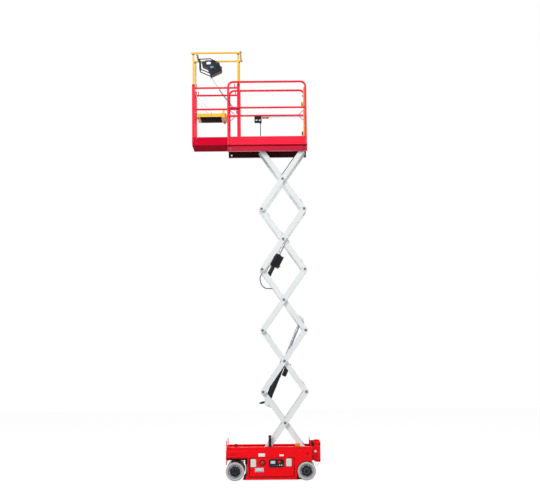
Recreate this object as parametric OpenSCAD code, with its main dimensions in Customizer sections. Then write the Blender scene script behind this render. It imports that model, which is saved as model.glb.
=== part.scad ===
// Slab scissor lift with its platform raised and its roll-out deck drawn forward.
// X runs along the machine with the ladder at +X, Y runs across it and Z is up.
// Origin: the ground under the middle of the whole outline. All sizes in millimetres.

/* [Scissor stack] */
// Distance between the end pins of an arm
arm_length = 1295; // [1270:1:1300]
// Angle of the arms above level with the platform raised
raised_angle = 54.9; // [52:0.1:56]
// Depth of an arm's tube
arm_depth = 88; // [80:1:90]
// Width of an arm's tube
arm_width = 45; // [40:1:46]
// Wall of an arm's tube
arm_wall = 5; // [3:0.5:7]
// Diameter of the pivot pins
pin_d = 40; // [32:1:42]
// Height of the lowest pins
low_pin_z = 440; // [438:1:450]
// Side gap between neighbouring arms
arm_gap = 10; // [6:1:12]

/* [Chassis] */
// Overall width, over the tyres
overall_width = 760; // [750:1:800]
// Distance between the front and rear wheel centres
wheelbase = 1222; // [1200:1:1240]
// Fixed scissor pivot behind the middle of the wheelbase
fixed_pivot_x = 625; // [615:1:632]
// Front end of the chassis, ahead of the middle of the wheelbase
chassis_front = 758; // [755:1:780]
// Rear end of the chassis
chassis_rear = 706; // [700:1:720]
// Top of the side channels
channel_top = 570; // [560:1:590]
// Underside of the side channels
channel_bottom = 395; // [393:1:398]
// Length of a side tray
tray_length = 741; // [720:1:745]
// Rear end of the side trays
tray_rear = 380; // [370:1:382]

/* [Wheels] */
// Tyre diameter
tyre_d = 316; // [300:1:318]
// Tyre width
tyre_w = 100; // [85:1:102]
// Rim diameter
rim_d = 238; // [228:1:244]
// Hub diameter
hub_d = 174; // [160:1:180]
// Radius of the steering arm
steer_arm = 130; // [125:1:135]

/* [Platform] */
// Length of the main platform
platform_length = 1400; // [1390:1:1440]
// Rear end of the main platform
platform_rear = 690; // [680:1:700]
// Width of the main platform
platform_width = 720; // [712:1:740]
// Height of the top rail above the floor
rail_height = 1125; // [1100:1:1150]
// Height of the middle rail above the floor
mid_rail_height = 664; // [640:1:680]
// Height of the toe boards
toe_board = 150; // [140:1:160]
// Diameter of the rail tube
rail_d = 38; // [32:1:40]

/* [Roll-out deck] */
// Distance the deck is drawn forward of the main platform
roll_out = 617; // [605:1:640]
// Length of the roll-out deck
deck_length = 842; // [830:1:860]
// Side of the square posts
post_side = 50; // [44:1:50]
// Height of the posts above the main floor
post_height = 1080; // [1060:1:1100]
// Height of the upper guard rail above the main floor
guard_height = 1663; // [1640:1:1680]
// Diameter of the upper guard rail's tube
guard_d = 34; // [28:1:36]
// Height of the step deck above the main floor
step_height = 583; // [570:1:590]
// Length of the step deck
step_length = 518; // [500:1:530]

/* [Actuators] */
// Outside diameter of the lower actuator's barrel
low_barrel_d = 84; // [70:1:86]
// Diameter of the lower actuator's rod
low_rod_d = 48; // [40:1:50]
// Outside diameter of the upper actuator's barrel
up_barrel_d = 74; // [60:1:76]
// Diameter of the upper actuator's rod
up_rod_d = 40; // [32:1:42]

/* [Clearances] */
// Radial play of a pin in its bore
pin_play = 0.2; // [0.1:0.05:0.3]
// Gap between faces that slide on each other
slide_gap = 0.3; // [0.2:0.05:0.5]
// Gap left round a moving piece
move_gap = 5; // [5:0.5:6]

/* [Hidden] */
$fn = 64;
stages = 5;
rise = arm_length * sin(raised_angle);
run = arm_length * cos(raised_angle);
left_x = fixed_pivot_x - run;
top_pin_z = low_pin_z + stages * rise;
half_w = overall_width / 2;
inner_y = half_w - 167.5;
outer_y = inner_y + arm_width + arm_gap;
outer_face = outer_y + arm_width / 2;
inner_face = inner_y - arm_width / 2;
pin_head = 6;
wheel_r = tyre_d / 2;
wheel_y = half_w - tyre_w / 2;
front_x = -wheelbase / 2;
rear_x = wheelbase / 2;
plate = 8;
web_y = half_w - plate;
flange_y = outer_face + pin_head + move_gap + 1;
floor_top = low_pin_z - arm_depth / 2 - 13;
track_top = channel_bottom + plate;
roller_r = low_pin_z - track_top - slide_gap;
tray_front = tray_rear - tray_length;
hinge_x = tray_rear + 10;
hinge_y = half_w - 14;
floor_z = top_pin_z + 65;
channel_z = floor_z - 112;
deck_under = floor_z - 8;
platform_front = platform_rear - platform_length;
half_p = platform_width / 2;
rail_y = half_p - rail_d / 2;
rail_front = platform_front + rail_d / 2 + 1;
rail_rear = platform_rear - rail_d / 2 - 2;
ext_half = rail_y - rail_d / 2 - move_gap;
post_y = ext_half - post_side / 2;
ext_front = platform_front - roll_out;
ext_rear = ext_front + deck_length;
ext_under = floor_z + 6;
ext_top = ext_under + 12;
post_front = ext_front + post_side / 2;
post_rear = ext_rear - post_side / 2;
post_top = floor_z + post_height;
ext_rail_z = post_top - 48;
ext_mid_z = post_top - 431;
guard_z = floor_z + guard_height;
guard_front = post_front - guard_d / 2 - 18;
guard_rear = post_rear + guard_d / 2 + 42;
step_top = floor_z + step_height;
step_half = post_y - post_side / 2 - move_gap;
step_axis_x = post_front + 41;
step_axis_z = step_top + 7;
step_front = step_axis_x + 19;
gate_axis_y = rail_y - rail_d / 2 - 22;
gate_free_y = -230;
gate_bars = [toe_board + 50, mid_rail_height - 124, rail_height - 85];
gate_pins = [toe_board + 110, rail_height - 225];
stay_z = post_top - 139;
ladder_rear = chassis_rear + 150;
shift_x = -(guard_front + ladder_rear) / 2;

// Points on the arms that carry the actuators, along and across each arm.
low_foot = [arm_length - 204, 67];
low_head = [199, -60];
up_foot = [arm_length - 160, 0];
up_head = [arm_length / 2 - 34, -42];

// Position in the side view of a point on the inner arm of stage k.
function on_inner(k, p) = [
  fixed_pivot_x - p[0] * cos(raised_angle) - p[1] * sin(raised_angle),
  low_pin_z + (k - 1) * rise + p[0] * sin(raised_angle) - p[1] * cos(raised_angle)
];
low_a = on_inner(1, low_foot);
low_b = on_inner(3, low_head);
up_a = on_inner(3, up_foot);
up_b = on_inner(4, up_head);
low_length = norm(low_b - low_a);
up_length = norm(up_b - up_a);
low_tube = low_length - 761;
up_tube = up_length - 275;
low_angle = atan2(low_b[1] - low_a[1], low_b[0] - low_a[0]);
up_angle = atan2(up_b[1] - up_a[1], up_b[0] - up_a[0]);

red = [0.83, 0.03, 0.08];
white = [0.88, 0.90, 0.91];
yellow = [0.96, 0.72, 0.12];
black = [0.05, 0.06, 0.08];
grey = [0.72, 0.70, 0.66];
steel = [0.70, 0.72, 0.74];

// Round bar along Y, centred on y.
module bar_y(d, h, y = 0) {
  translate([0, y, 0])
    rotate([90, 0, 0])
      cylinder(d = d, h = h, center = true);
}

// Round bar between two points.
module bar(a, b, d) {
  v = b - a;
  translate(a)
    rotate([0, acos(v[2] / norm(v)), atan2(v[1], v[0])])
      cylinder(d = d, h = norm(v));
}

// Block given by two opposite corners.
module block(a, b) {
  translate(a)
    cube(b - a);
}

// The same shape on the near and the far side.
module both_sides() {
  children();
  mirror([0, 1, 0])
    children();
}

// Open-ended tube with rounded cheeks and a boss at each of its three pivots.
module arm_tube() {
  difference() {
    union() {
      block([0, -arm_width / 2, -arm_depth / 2], [arm_length, arm_width / 2, arm_depth / 2]);
      for (x = [0, arm_length])
        translate([x, 0, 0])
          bar_y(arm_depth, arm_width);
    }
    block([-arm_depth, -arm_width / 2 + arm_wall, -arm_depth / 2 + arm_wall],
      [arm_length + arm_depth, arm_width / 2 - arm_wall, arm_depth / 2 - arm_wall]);
  }
  for (x = [0, arm_length / 2, arm_length])
    translate([x, 0, 0])
      bar_y(pin_d + 20, arm_width);
}

// Bores of an arm at the given distances along it.
module arm_bores(places) {
  for (x = places)
    translate([x, 0, 0])
      bar_y(pin_d + 2 * pin_play, arm_width + 2);
}

// Pin from an inner arm out through the outer arm, with its collar and head.
module outward_pin() {
  bar_y(pin_d, outer_face + pin_head - inner_y, (inner_y + outer_face + pin_head) / 2);
  bar_y(pin_d + 20, arm_gap - slide_gap,
    inner_y + arm_width / 2 + (arm_gap - slide_gap) / 2);
  bar_y(pin_d + 18, pin_head - slide_gap, outer_face + slide_gap + (pin_head - slide_gap) / 2);
}

// Frame of the outer arm of stage k, its lower pin at the origin.
module outer_place(k) {
  translate([left_x, 0, low_pin_z + (k - 1) * rise])
    rotate([0, -raised_angle, 0])
      children();
}

// Frame of the inner arm of stage k, its lower pin at the origin.
module inner_place(k) {
  translate([fixed_pivot_x, 0, low_pin_z + (k - 1) * rise])
    rotate([0, raised_angle - 180, 0])
      children();
}

// Near and far outer arms of stage k.
module outer_pair(k) {
  color(white)
    outer_place(k)
      both_sides() {
        difference() {
          translate([0, outer_y, 0])
            arm_tube();
          translate([0, outer_y, 0])
            arm_bores(k == 1 ? [arm_length / 2, arm_length] : [0, arm_length / 2, arm_length]);
        }
        if (k == 1) {
          bar_y(pin_d, flange_y + 34 - outer_y, (outer_y + flange_y + 34) / 2);
          bar_y(2 * roller_r, 32, flange_y + 18);
        }
      }
}

// Near and far inner arms of stage k with the pins they carry.
module inner_pair(k) {
  color(white)
    inner_place(k) {
      both_sides() {
        difference() {
          translate([0, inner_y, 0])
            arm_tube();
          if (k == 1)
            translate([0, inner_y, 0])
              arm_bores([0]);
        }
        translate([arm_length / 2, 0, 0])
          outward_pin();
        if (k > 1)
          outward_pin();
        if (k < stages)
          translate([arm_length, 0, 0])
            outward_pin();
        if (k == stages)
          translate([arm_length, 0, 0]) {
            bar_y(pin_d, flange_y + 34 - inner_y, (inner_y + flange_y + 34) / 2);
            bar_y(2 * (top_pin_z - channel_z - plate - slide_gap), 32, flange_y + 18);
          }
      }
      if (k < stages)
        translate([arm_length, 0, 0])
          bar_y(pin_d, 2 * inner_face + 2);
      if (k > 1 && k != 3)
        bar_y(pin_d, 2 * inner_face + 2);
    }
}

// Triangular plate and boss at point p on an inner arm, on both sides; the plate stands
// inset from the arm's inner face and is welded on over a pad.
module gusset(p, reach, inset = 0) {
  side = p[1] > 0 ? 1 : -1;
  plate_y = inset > 0 ? inner_face - inset : inner_y + 8;
  foot = inset > 0 ? -arm_depth / 2 + 14 : arm_depth / 2 - arm_wall;
  both_sides() {
    translate([0, plate_y, 0])
      rotate([90, 0, 0])
        linear_extrude(height = 16)
          polygon([[p[0] - 115, side * foot], [p[0] - 115, side * (arm_depth / 2 - arm_wall)],
            [p[0] - 28, p[1] + side * 30], [p[0] + 28, p[1] + side * 30],
            [p[0] + 100, side * (arm_depth / 2 - arm_wall)], [p[0] + 100, side * foot]]);
    if (inset > 0)
      block([p[0] - 100, plate_y - 1, -arm_depth / 2 + 14], [p[0] + 85, inner_face, arm_depth / 2 - 14]);
    translate([p[0], 0, p[1]]) {
      bar_y(pin_d + 32, inset > 0 ? 24 : arm_width - 2, inset > 0 ? plate_y - 12 : inner_y);
      bar_y(pin_d, (inset > 0 ? plate_y - 4 : inner_y) - reach,
        ((inset > 0 ? plate_y - 4 : inner_y) + reach) / 2);
    }
  }
}

module inner_arms_1() {
  inner_pair(1);
  color(white)
    inner_place(1)
      gusset(low_foot, 0);
}

module inner_arms_3() {
  inner_pair(3);
  color(white)
    inner_place(3) {
      gusset(low_head, 40, move_gap + 1);
      translate([up_foot[0], 0, up_foot[1]])
        bar_y(pin_d, 2 * inner_face + 2);
    }
}

module inner_arms_4() {
  inner_pair(4);
  color(white)
    inner_place(4)
      gusset(up_head, 40, move_gap + 1);
}

// Frame of an actuator, its foot at the origin and its rod along X.
module actuator_place(foot, angle) {
  translate([foot[0], 0, foot[1]])
    rotate([0, -angle, 0])
      children();
}

// Round bar along X.
module bar_x(d, x0, x1) {
  translate([x0, 0, 0])
    rotate([0, 90, 0])
      cylinder(d = d, h = x1 - x0);
}

module low_barrel() {
  color(black)
    actuator_place(low_a, low_angle)
      difference() {
        union() {
          bar_y(pin_d + 32, 60);
          block([10, -26, -30], [70, 26, 30]);
          bar_x(low_barrel_d, 52, low_tube);
          bar_x(low_barrel_d + 12, low_tube - 36, low_tube + 4);
          bar_x(low_barrel_d + 12, 52, 84);
          translate([0, 0, low_barrel_d / 2 + 8])
            bar_x(26, 70, low_tube - 14);
          block([70, -12, 0], [100, 12, low_barrel_d / 2 + 14]);
          block([low_tube - 36, -12, 0], [low_tube - 14, 12, low_barrel_d / 2 + 14]);
          translate([0, 0, -90])
            bar_x(80, low_tube - 266, low_tube - 56);
          block([low_tube - 126, -40, -128], [low_tube - 36, 40, 0]);
        }
        bar_y(pin_d + 2 * pin_play, 62);
        bar_x(low_rod_d + 2 * slide_gap, 92, low_tube + 5);
      }
}

module low_rod() {
  color(steel)
    actuator_place(low_a, low_angle) {
      bar_x(low_rod_d, low_tube - 68, low_length);
      translate([low_length, 0, 0])
        bar_y(pin_d + 28, 62);
    }
}

module up_barrel() {
  color(black)
    actuator_place(up_a, up_angle)
      difference() {
        union() {
          bar_y(pin_d + 28, 60);
          block([10, -24, -26], [60, 24, 26]);
          bar_x(up_barrel_d, 46, up_tube - 202);
          block([up_tube - 234, -70, -98], [up_tube - 12, 70, 58]);
          bar_x(up_barrel_d, up_tube - 16, up_tube);
        }
        bar_y(pin_d + 2 * pin_play, 62);
        bar_x(up_rod_d + 2 * slide_gap, 72, up_tube + 1);
      }
}

module up_rod() {
  color(steel)
    actuator_place(up_a, up_angle) {
      bar_x(up_rod_d, up_tube - 165, up_length);
      translate([up_length, 0, 0])
        bar_y(pin_d + 22, 62);
    }
}

module side_channels() {
  color(red)
    both_sides()
      difference() {
        union() {
          block([-chassis_front + plate, web_y, channel_bottom],
            [chassis_rear - plate, half_w, channel_top]);
          block([-chassis_front + plate, flange_y, channel_bottom],
            [chassis_rear - plate, half_w, track_top]);
          block([-chassis_front + plate, flange_y, channel_top - plate],
            [chassis_rear - plate, half_w, channel_top]);
          block([hinge_x + 14, web_y, 70], [chassis_rear - plate, half_w, channel_bottom]);
          block([tray_front - 38, web_y, 70], [tray_front - 12, half_w, channel_bottom + 1]);
        }
        translate([rear_x, 0, wheel_r])
          bar_y(tyre_d + 28, 2 * half_w + 2);
        for (x = [front_x - 48, front_x + 6])
          translate([x, 0, low_pin_z + 6])
            bar_y(20, 2 * half_w + 2);
      }
}

module chassis_floor() {
  color(red) {
    block([-chassis_front + plate, -hinge_y + 8, floor_top - plate],
      [chassis_rear - plate, hinge_y - 8, floor_top]);
    both_sides()
      block([-chassis_front + plate, flange_y + 4, floor_top],
        [chassis_rear - plate, hinge_y - 8, channel_bottom]);
    both_sides()
      difference() {
        translate([front_x, wheel_y, floor_top - plate - 19])
          cylinder(d = 90, h = 19);
        translate([front_x, wheel_y, floor_top - plate - 20])
          cylinder(d = 40 + 2 * slide_gap, h = 20);
      }
  }
}

module spine() {
  color(red) {
    block([tray_front + 16, -165, 90], [tray_rear + 50, 165, floor_top - plate]);
    both_sides()
      for (x = [-300, 320]) {
        block([x - 8, 165, 90], [x + 8, 348, 106]);
        block([x - 5, 346, 78], [x + 5, 360, 106]);
        translate([x, 353, 78])
          rotate([0, 90, 0])
            cylinder(d = 16, h = 10, center = true);
        translate([x, 353, 78])
          rotate([0, 90, 0])
            cylinder(d = 8, h = 60, center = true);
      }
  }
}

module rear_box() {
  inner = wheel_y - tyre_w / 2 - 10;
  color(red) {
    block([tray_rear + 50, -inner, 112], [chassis_rear - plate, inner, floor_top - plate]);
    both_sides()
      translate([rear_x, 0, wheel_r]) {
        bar_y(150, 6, inner + 3);
        bar_y(50, 60, inner + 30);
      }
    both_sides()
      for (z = [150, 300]) {
        block([hinge_x - 5, hinge_y - 5, z - 4], [hinge_x + 14, hinge_y + 5, z]);
        block([hinge_x + 8, hinge_y - 5, z - 4], [hinge_x + 22, web_y, z]);
        translate([hinge_x, hinge_y, z - 2])
          cylinder(d = 12, h = 40);
      }
  }
}

module base_pivot() {
  color(steel)
    translate([fixed_pivot_x, 0, low_pin_z])
      bar_y(pin_d, 2 * web_y - 1);
  color(red)
    both_sides()
      difference() {
        block([fixed_pivot_x - 45, inner_y + arm_width / 2 + move_gap, floor_top],
          [fixed_pivot_x + 45, inner_y + arm_width / 2 + move_gap + plate, low_pin_z + 34]);
        translate([fixed_pivot_x, 0, low_pin_z])
          bar_y(pin_d - 1, 2 * half_w);
      }
}

module front_panel() {
  color(red) {
    block([-chassis_front, -half_w, channel_bottom], [-chassis_front + plate, half_w, channel_top]);
    block([-chassis_front, -web_y, floor_top - plate], [-chassis_front + plate, web_y, channel_bottom]);
    both_sides()
      block([-chassis_front, half_w - 45, channel_top],
        [-chassis_front + 14, half_w - 5, channel_top + 110]);
  }
}

module rear_panel() {
  color(red) {
    block([chassis_rear - plate, -half_w, tyre_d + 14], [chassis_rear, half_w, channel_top]);
    block([chassis_rear - plate, -260, 112], [chassis_rear, 260, tyre_d + 14]);
    both_sides()
      block([chassis_rear - 30, half_w - 45, channel_top],
        [chassis_rear - 16, half_w - 5, channel_top + 110]);
  }
}

module entry_ladder() {
  color(red) {
    both_sides()
      translate([chassis_rear, 226, 0])
        rotate([90, 0, 0])
          linear_extrude(height = 10)
            difference() {
              polygon([[0, 350], [0, 520], [34, 640], [70, 655], [150, 650], [150, 300], [70, 298]]);
              translate([68, 478])
                circle(d = 35);
            }
    for (z = [330, 600])
      block([chassis_rear + 90, -217, z - 12], [chassis_rear + 146, 217, z + 12]);
  }
}

module beacon() {
  color([0.95, 0.55, 0.08])
    translate([457, -(half_w - 38), channel_top]) {
      for (x = [-12, 12])
        translate([x, 0, 0]) {
          cylinder(d = 72, h = 8);
          cylinder(d1 = 66, d2 = 58, h = 54);
        }
      block([-12, -36, 0], [12, 36, 8]);
      block([-12, -29, 0], [12, 29, 54]);
    }
}

module sensor_post() {
  color(black)
    block([-34, -(half_w - 12), channel_top], [12, -(half_w - 50), channel_top + 190]);
}

module stop_knob() {
  color([0.5, 0.02, 0.05])
    translate([-592, -(half_w - 34), channel_top]) {
      cylinder(d = 18, h = 30);
      translate([0, 0, 26])
        cylinder(d = 44, h = 26);
    }
}

// Tray cabinet hung on its outer rear edge; the far one is its mirror image.
module tray_body() {
  difference() {
    union() {
      block([tray_front, half_w - 16, 70], [tray_rear, half_w - 8, channel_bottom - move_gap]);
      block([tray_front + 20, 182, 114], [tray_rear - 20, half_w - 15, floor_top - plate - 6]);
      for (z = [154, 304]) {
        translate([hinge_x, hinge_y, z])
          cylinder(d = 20, h = 34);
        block([tray_rear - 4, half_w - 16, z], [hinge_x, half_w - 8, z + 34]);
      }
    }
    for (z = [153, 303])
      translate([hinge_x, hinge_y, z])
        cylinder(d = 12 + 2 * slide_gap, h = 36);
  }
}

module near_tray() {
  color(red)
    mirror([0, 1, 0])
      tray_body();
}

module far_tray() {
  color(red)
    tray_body();
}

module control_panel() {
  color(black)
    block([-32, -half_w + 2, 224], [222, -half_w + 8, 366]);
}

// Stop button, inlet and two blank plates on a tray's face.
module tray_fittings() {
  block([-350, half_w - 8, 228], [-246, half_w - 5, 372]);
  translate([-141, 0, 306])
    bar_y(104, 4, half_w - 6);
  block([-268, half_w - 8, 144], [-122, half_w - 4, 218]);
  block([256, half_w - 8, 236], [360, half_w - 5, 378]);
}

module near_fittings() {
  color(grey)
    mirror([0, 1, 0])
      tray_fittings();
}

module far_fittings() {
  color(grey)
    tray_fittings();
}

// Ground guard hung along its top edge.
module guard_plate() {
  x0 = front_x + wheel_r + 23;
  x1 = rear_x - wheel_r - 9;
  difference() {
    union() {
      block([x0, 350, 14], [x1, 356, 68]);
      block([x0, 350, 60], [x1, 356, 78]);
      translate([x0, 353, 78])
        rotate([0, 90, 0])
          cylinder(d = 16, h = x1 - x0);
    }
    for (x = [-300, 320]) {
      block([x - 10, 330, 66], [x + 10, 376, 100]);
      translate([x, 353, 78])
        rotate([0, 90, 0])
          cylinder(d = 8 + 2 * slide_gap, h = 64, center = true);
    }
  }
}

module near_guard() {
  color(red)
    mirror([0, 1, 0])
      guard_plate();
}

module far_guard() {
  color(red)
    guard_plate();
}

// Steering yoke over the top of a front wheel, with its hub plate inboard.
module knuckle(side) {
  inboard = side * (wheel_y - tyre_w / 2 - 3);
  top = wheel_r * 2 + 6;
  color(black) {
    block([front_x - 65, min(inboard, side * (wheel_y + 40)), top],
      [front_x + 65, max(inboard, side * (wheel_y + 40)), top + 10]);
    block([front_x + 20, side * wheel_y - 26, top],
      [front_x + steer_arm, side * wheel_y + 26, top + 10]);
    translate([front_x + steer_arm, side * wheel_y, top])
      cylinder(d = 52, h = 10);
    block([front_x - 65, min(inboard, inboard - side * 12), wheel_r - 66],
      [front_x + 65, max(inboard, inboard - side * 12), top + 10]);
    translate([front_x, 0, wheel_r]) {
      bar_y(150, 40, inboard - side * 26);
      bar_y(50, 60, inboard + side * 20);
    }
    translate([front_x, side * wheel_y, top])
      cylinder(d = 40, h = floor_top - plate - top - 2);
    translate([front_x + steer_arm, side * wheel_y, top])
      cylinder(d = 18, h = 27);
  }
}

module near_knuckle() {
  knuckle(-1);
}

module far_knuckle() {
  knuckle(1);
}

module tie_rod() {
  z = wheel_r * 2 + 6 + 10 + slide_gap;
  color(steel)
    difference() {
      union() {
        block([front_x + steer_arm - 10, -wheel_y, z], [front_x + steer_arm + 10, wheel_y, z + 14]);
        both_sides()
          translate([front_x + steer_arm, wheel_y, z])
            cylinder(d = 36, h = 14);
      }
      both_sides()
        translate([front_x + steer_arm, wheel_y, z - 1])
          cylinder(d = 18 + 2 * pin_play, h = 16);
    }
}

// Solid tyre on its axis along Y.
module tyre(x, side) {
  color(grey)
    translate([x, side * wheel_y, wheel_r])
      rotate([90, 0, 0])
        rotate_extrude($fn = 96)
          polygon([[rim_d / 2, -tyre_w / 2 + 6], [rim_d / 2 + 8, -tyre_w / 2], [wheel_r - 14, -tyre_w / 2],
            [wheel_r - 4, -tyre_w / 2 + 5], [wheel_r, -tyre_w / 2 + 16], [wheel_r, tyre_w / 2 - 16],
            [wheel_r - 4, tyre_w / 2 - 5], [wheel_r - 14, tyre_w / 2], [rim_d / 2 + 8, tyre_w / 2],
            [rim_d / 2, tyre_w / 2 - 6]]);
}

// Dished rim and hub; out is the side that shows.
module rim(x, side) {
  color(black)
    translate([x, side * wheel_y, wheel_r])
      rotate([side * -90, 0, 0])
        difference() {
          rotate_extrude($fn = 96)
            polygon([[0, -tyre_w / 2 + 12], [rim_d / 2, -tyre_w / 2 + 8], [rim_d / 2, tyre_w / 2 - 8],
              [rim_d / 2 - 8, tyre_w / 2 - 8], [rim_d / 2 - 18, tyre_w / 2 - 26],
              [hub_d / 2 + 2, tyre_w / 2 - 26], [hub_d / 2 - 6, tyre_w / 2 - 8], [0, tyre_w / 2 - 8]]);
          translate([0, 0, -tyre_w / 2 - 1])
            cylinder(d = 50 + 2 * slide_gap, h = 68);
        }
}

module platform_frame() {
  color(red) {
    both_sides() {
      difference() {
        union() {
          block([platform_front, half_p - plate, channel_z], [platform_rear, half_p, deck_under]);
          block([platform_front, flange_y + 4, channel_z], [platform_rear, half_p, channel_z + plate]);
          block([platform_front, flange_y + 4, deck_under - 6], [platform_rear, half_p, deck_under]);
        }
        translate([platform_front + 55, 0, top_pin_z + 2])
          bar_y(26, 2 * half_p + 2);
      }
    }
    for (x = [platform_front, -300, 150, platform_rear - 40])
      block([x, -flange_y - 6, deck_under - 10], [x + 40, flange_y + 6, deck_under]);
    translate([fixed_pivot_x, 0, top_pin_z])
      bar_y(pin_d, 2 * half_p - plate);
  }
}

module main_deck() {
  color(grey) {
    block([platform_front, -half_p, deck_under], [platform_rear, half_p, floor_z]);
    both_sides()
      block([platform_front, 180, floor_z], [platform_front + 20, ext_half - 20, ext_under - slide_gap]);
  }
}

// Hoop of rail tube with a middle rail and a toe board, its posts on the deck.
module side_rail() {
  bend = 90;
  top = floor_z + rail_height;
  translate([0, rail_y, 0]) {
    for (x = [rail_front, rail_rear])
      translate([x, 0, floor_z])
        cylinder(d = rail_d, h = rail_height - bend);
    bar([rail_front + bend, 0, top], [rail_rear - bend, 0, top], rail_d);
    translate([rail_front + bend, 0, top - bend])
      rotate([90, 180, 0])
        rotate_extrude(angle = -90)
          translate([bend, 0])
            circle(d = rail_d);
    translate([rail_rear - bend, 0, top - bend])
      rotate([90, 0, 0])
        rotate_extrude(angle = 90)
          translate([bend, 0])
            circle(d = rail_d);
    bar([rail_front, 0, floor_z + mid_rail_height], [rail_rear, 0, floor_z + mid_rail_height], rail_d - 4);
    block([rail_front, -3, floor_z], [rail_rear, 3, floor_z + toe_board]);
  }
}

// Near side rail with the short return that the gate closes against.
module near_rail() {
  color(red) {
    mirror([0, 1, 0])
      side_rail();
    translate([rail_rear, gate_free_y - 30, floor_z])
      cylinder(d = rail_d, h = rail_height - 70);
    for (z = [rail_height - 90, mid_rail_height - 30])
      bar([rail_rear, -rail_y, floor_z + z], [rail_rear, gate_free_y - 30, floor_z + z], rail_d - 6);
    block([rail_rear - 3, -rail_y, floor_z], [rail_rear + 3, gate_free_y - 30, floor_z + toe_board]);
  }
}

// Far side rail with the lugs and pins that carry the gate.
module far_rail() {
  color(red) {
    side_rail();
    for (z = gate_pins) {
      block([rail_rear - 8, gate_axis_y - 10, floor_z + z - 10], [rail_rear + 8, rail_y, floor_z + z]);
      translate([rail_rear, gate_axis_y, floor_z + z - 1])
        cylinder(d = 14, h = 42);
    }
  }
}

module gate() {
  color(yellow)
    difference() {
      union() {
        for (z = gate_bars)
          bar([rail_rear, gate_free_y, floor_z + z], [rail_rear, gate_axis_y, floor_z + z], 25);
        translate([rail_rear, gate_free_y + 14, floor_z + 10])
          cylinder(d = 28, h = rail_height - 81);
        translate([rail_rear, gate_axis_y, floor_z + 10])
          cylinder(d = 28, h = rail_height - 81);
        block([rail_rear - 3, gate_free_y + 14, floor_z + 10],
          [rail_rear + 3, gate_axis_y, floor_z + toe_board]);
      }
      for (z = gate_pins) {
        block([rail_rear - 20, gate_axis_y - 20, floor_z + z - 15],
          [rail_rear + 20, gate_axis_y + 20, floor_z + z + 0.5]);
        translate([rail_rear, gate_axis_y, floor_z + z - 1])
          cylinder(d = 14 + 2 * slide_gap, h = 46);
      }
    }
}

module outlet_box() {
  z = floor_z + mid_rail_height - rail_d / 2 + 2;
  color(grey)
    block([-238, rail_y - 16, z - 118], [-108, rail_y + 18, z]);
  color(black)
    bar([-130, rail_y, z - 117], [-130, rail_y, floor_z + toe_board + slide_gap], 14);
}

module ext_deck() {
  color(red) {
    block([ext_front, -ext_half, ext_under], [ext_rear, ext_half, ext_top]);
    both_sides()
      block([ext_front, ext_half - 6, ext_top], [ext_rear, ext_half, floor_z + toe_board]);
    block([ext_front, -post_y + post_side / 2, ext_top],
      [ext_front + 6, post_y - post_side / 2, floor_z + toe_board]);
    both_sides()
      block([ext_rear - 35, 150, floor_z + slide_gap], [ext_rear, 176, ext_under]);
  }
}

module ext_frame() {
  color(red) {
    both_sides() {
      for (x = [post_front, post_rear])
        difference() {
          block([x - post_side / 2, post_y - post_side / 2, ext_top],
            [x + post_side / 2, post_y + post_side / 2 - 6, post_top]);
          translate([x, post_y, post_top - 120])
            cylinder(d = guard_d + 2 * slide_gap, h = 121);
        }
      for (z = [ext_rail_z, ext_mid_z])
        bar([post_front + 20, post_y, z], [post_rear - 20, post_y, z], 34);
      for (x = [post_front + 52, post_rear - 66])
        translate([x, post_y, ext_rail_z])
          cylinder(d = 16, h = 66);
      translate([post_front + 13, 0, stay_z + 4])
        bar_y(10, 30, post_y - post_side / 2 - 4);
    }
    for (z = [ext_rail_z, ext_mid_z, step_axis_z])
      bar([post_front, 20 - post_y, z], [post_front, post_y - 20, z], 30);
    for (y = [-220, 0, 220])
      block([post_front, y - 6, step_axis_z - 8], [step_axis_x + 8, y + 6, step_axis_z + 8]);
    translate([step_axis_x, 0, step_axis_z])
      bar_y(16, 440);
  }
}

module upper_guard() {
  color(yellow) {
    both_sides() {
      bar([guard_front, post_y, guard_z], [guard_rear, post_y, guard_z], guard_d);
      for (x = [post_front, post_rear])
        translate([x, post_y, post_top - 119])
          cylinder(d = guard_d, h = guard_z - post_top + 119);
    }
    for (x = [post_front + 56, post_rear + 40])
      bar([x, -post_y, guard_z], [x, post_y, guard_z], guard_d - 4);
  }
}

module step_deck() {
  z0 = step_top - 61;
  x1 = step_front + step_length;
  color(yellow)
    difference() {
      union() {
        difference() {
          block([step_front, -step_half, z0], [x1, step_half, step_top]);
          block([step_front + 5, -step_half + 5, z0 - 1], [x1 - 5, step_half - 5, step_top - 6]);
        }
        for (y = [-110, 110]) {
          translate([step_axis_x, 0, step_axis_z])
            bar_y(28, 180, y);
          block([step_axis_x, y - 90, step_axis_z - 14], [step_front + 4, y + 90, step_axis_z - 6]);
        }
      }
      translate([step_axis_x, 0, step_axis_z])
        bar_y(16 + 2 * slide_gap, 460);
    }
}

module step_rests() {
  x1 = step_front + step_length;
  color(yellow)
    both_sides() {
      block([x1 - 70, step_half + 6, step_top - 80], [x1 - 30, post_y + 4, step_top - 61 - slide_gap]);
      block([x1 - 70, step_half - 30, step_top - 80], [x1 - 30, step_half + 8, step_top - 61 - slide_gap]);
      block([x1 - 70, post_y - 4, step_top - 80], [x1 - 30, post_y + 4, ext_mid_z - 17.2]);
    }
}

module step_stays() {
  color(steel)
    both_sides()
      bar([post_front + 22, step_half - 6, stay_z],
        [step_front + step_length / 2 + 1, step_half - 6, step_top + 2.8], 8);
}

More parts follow.
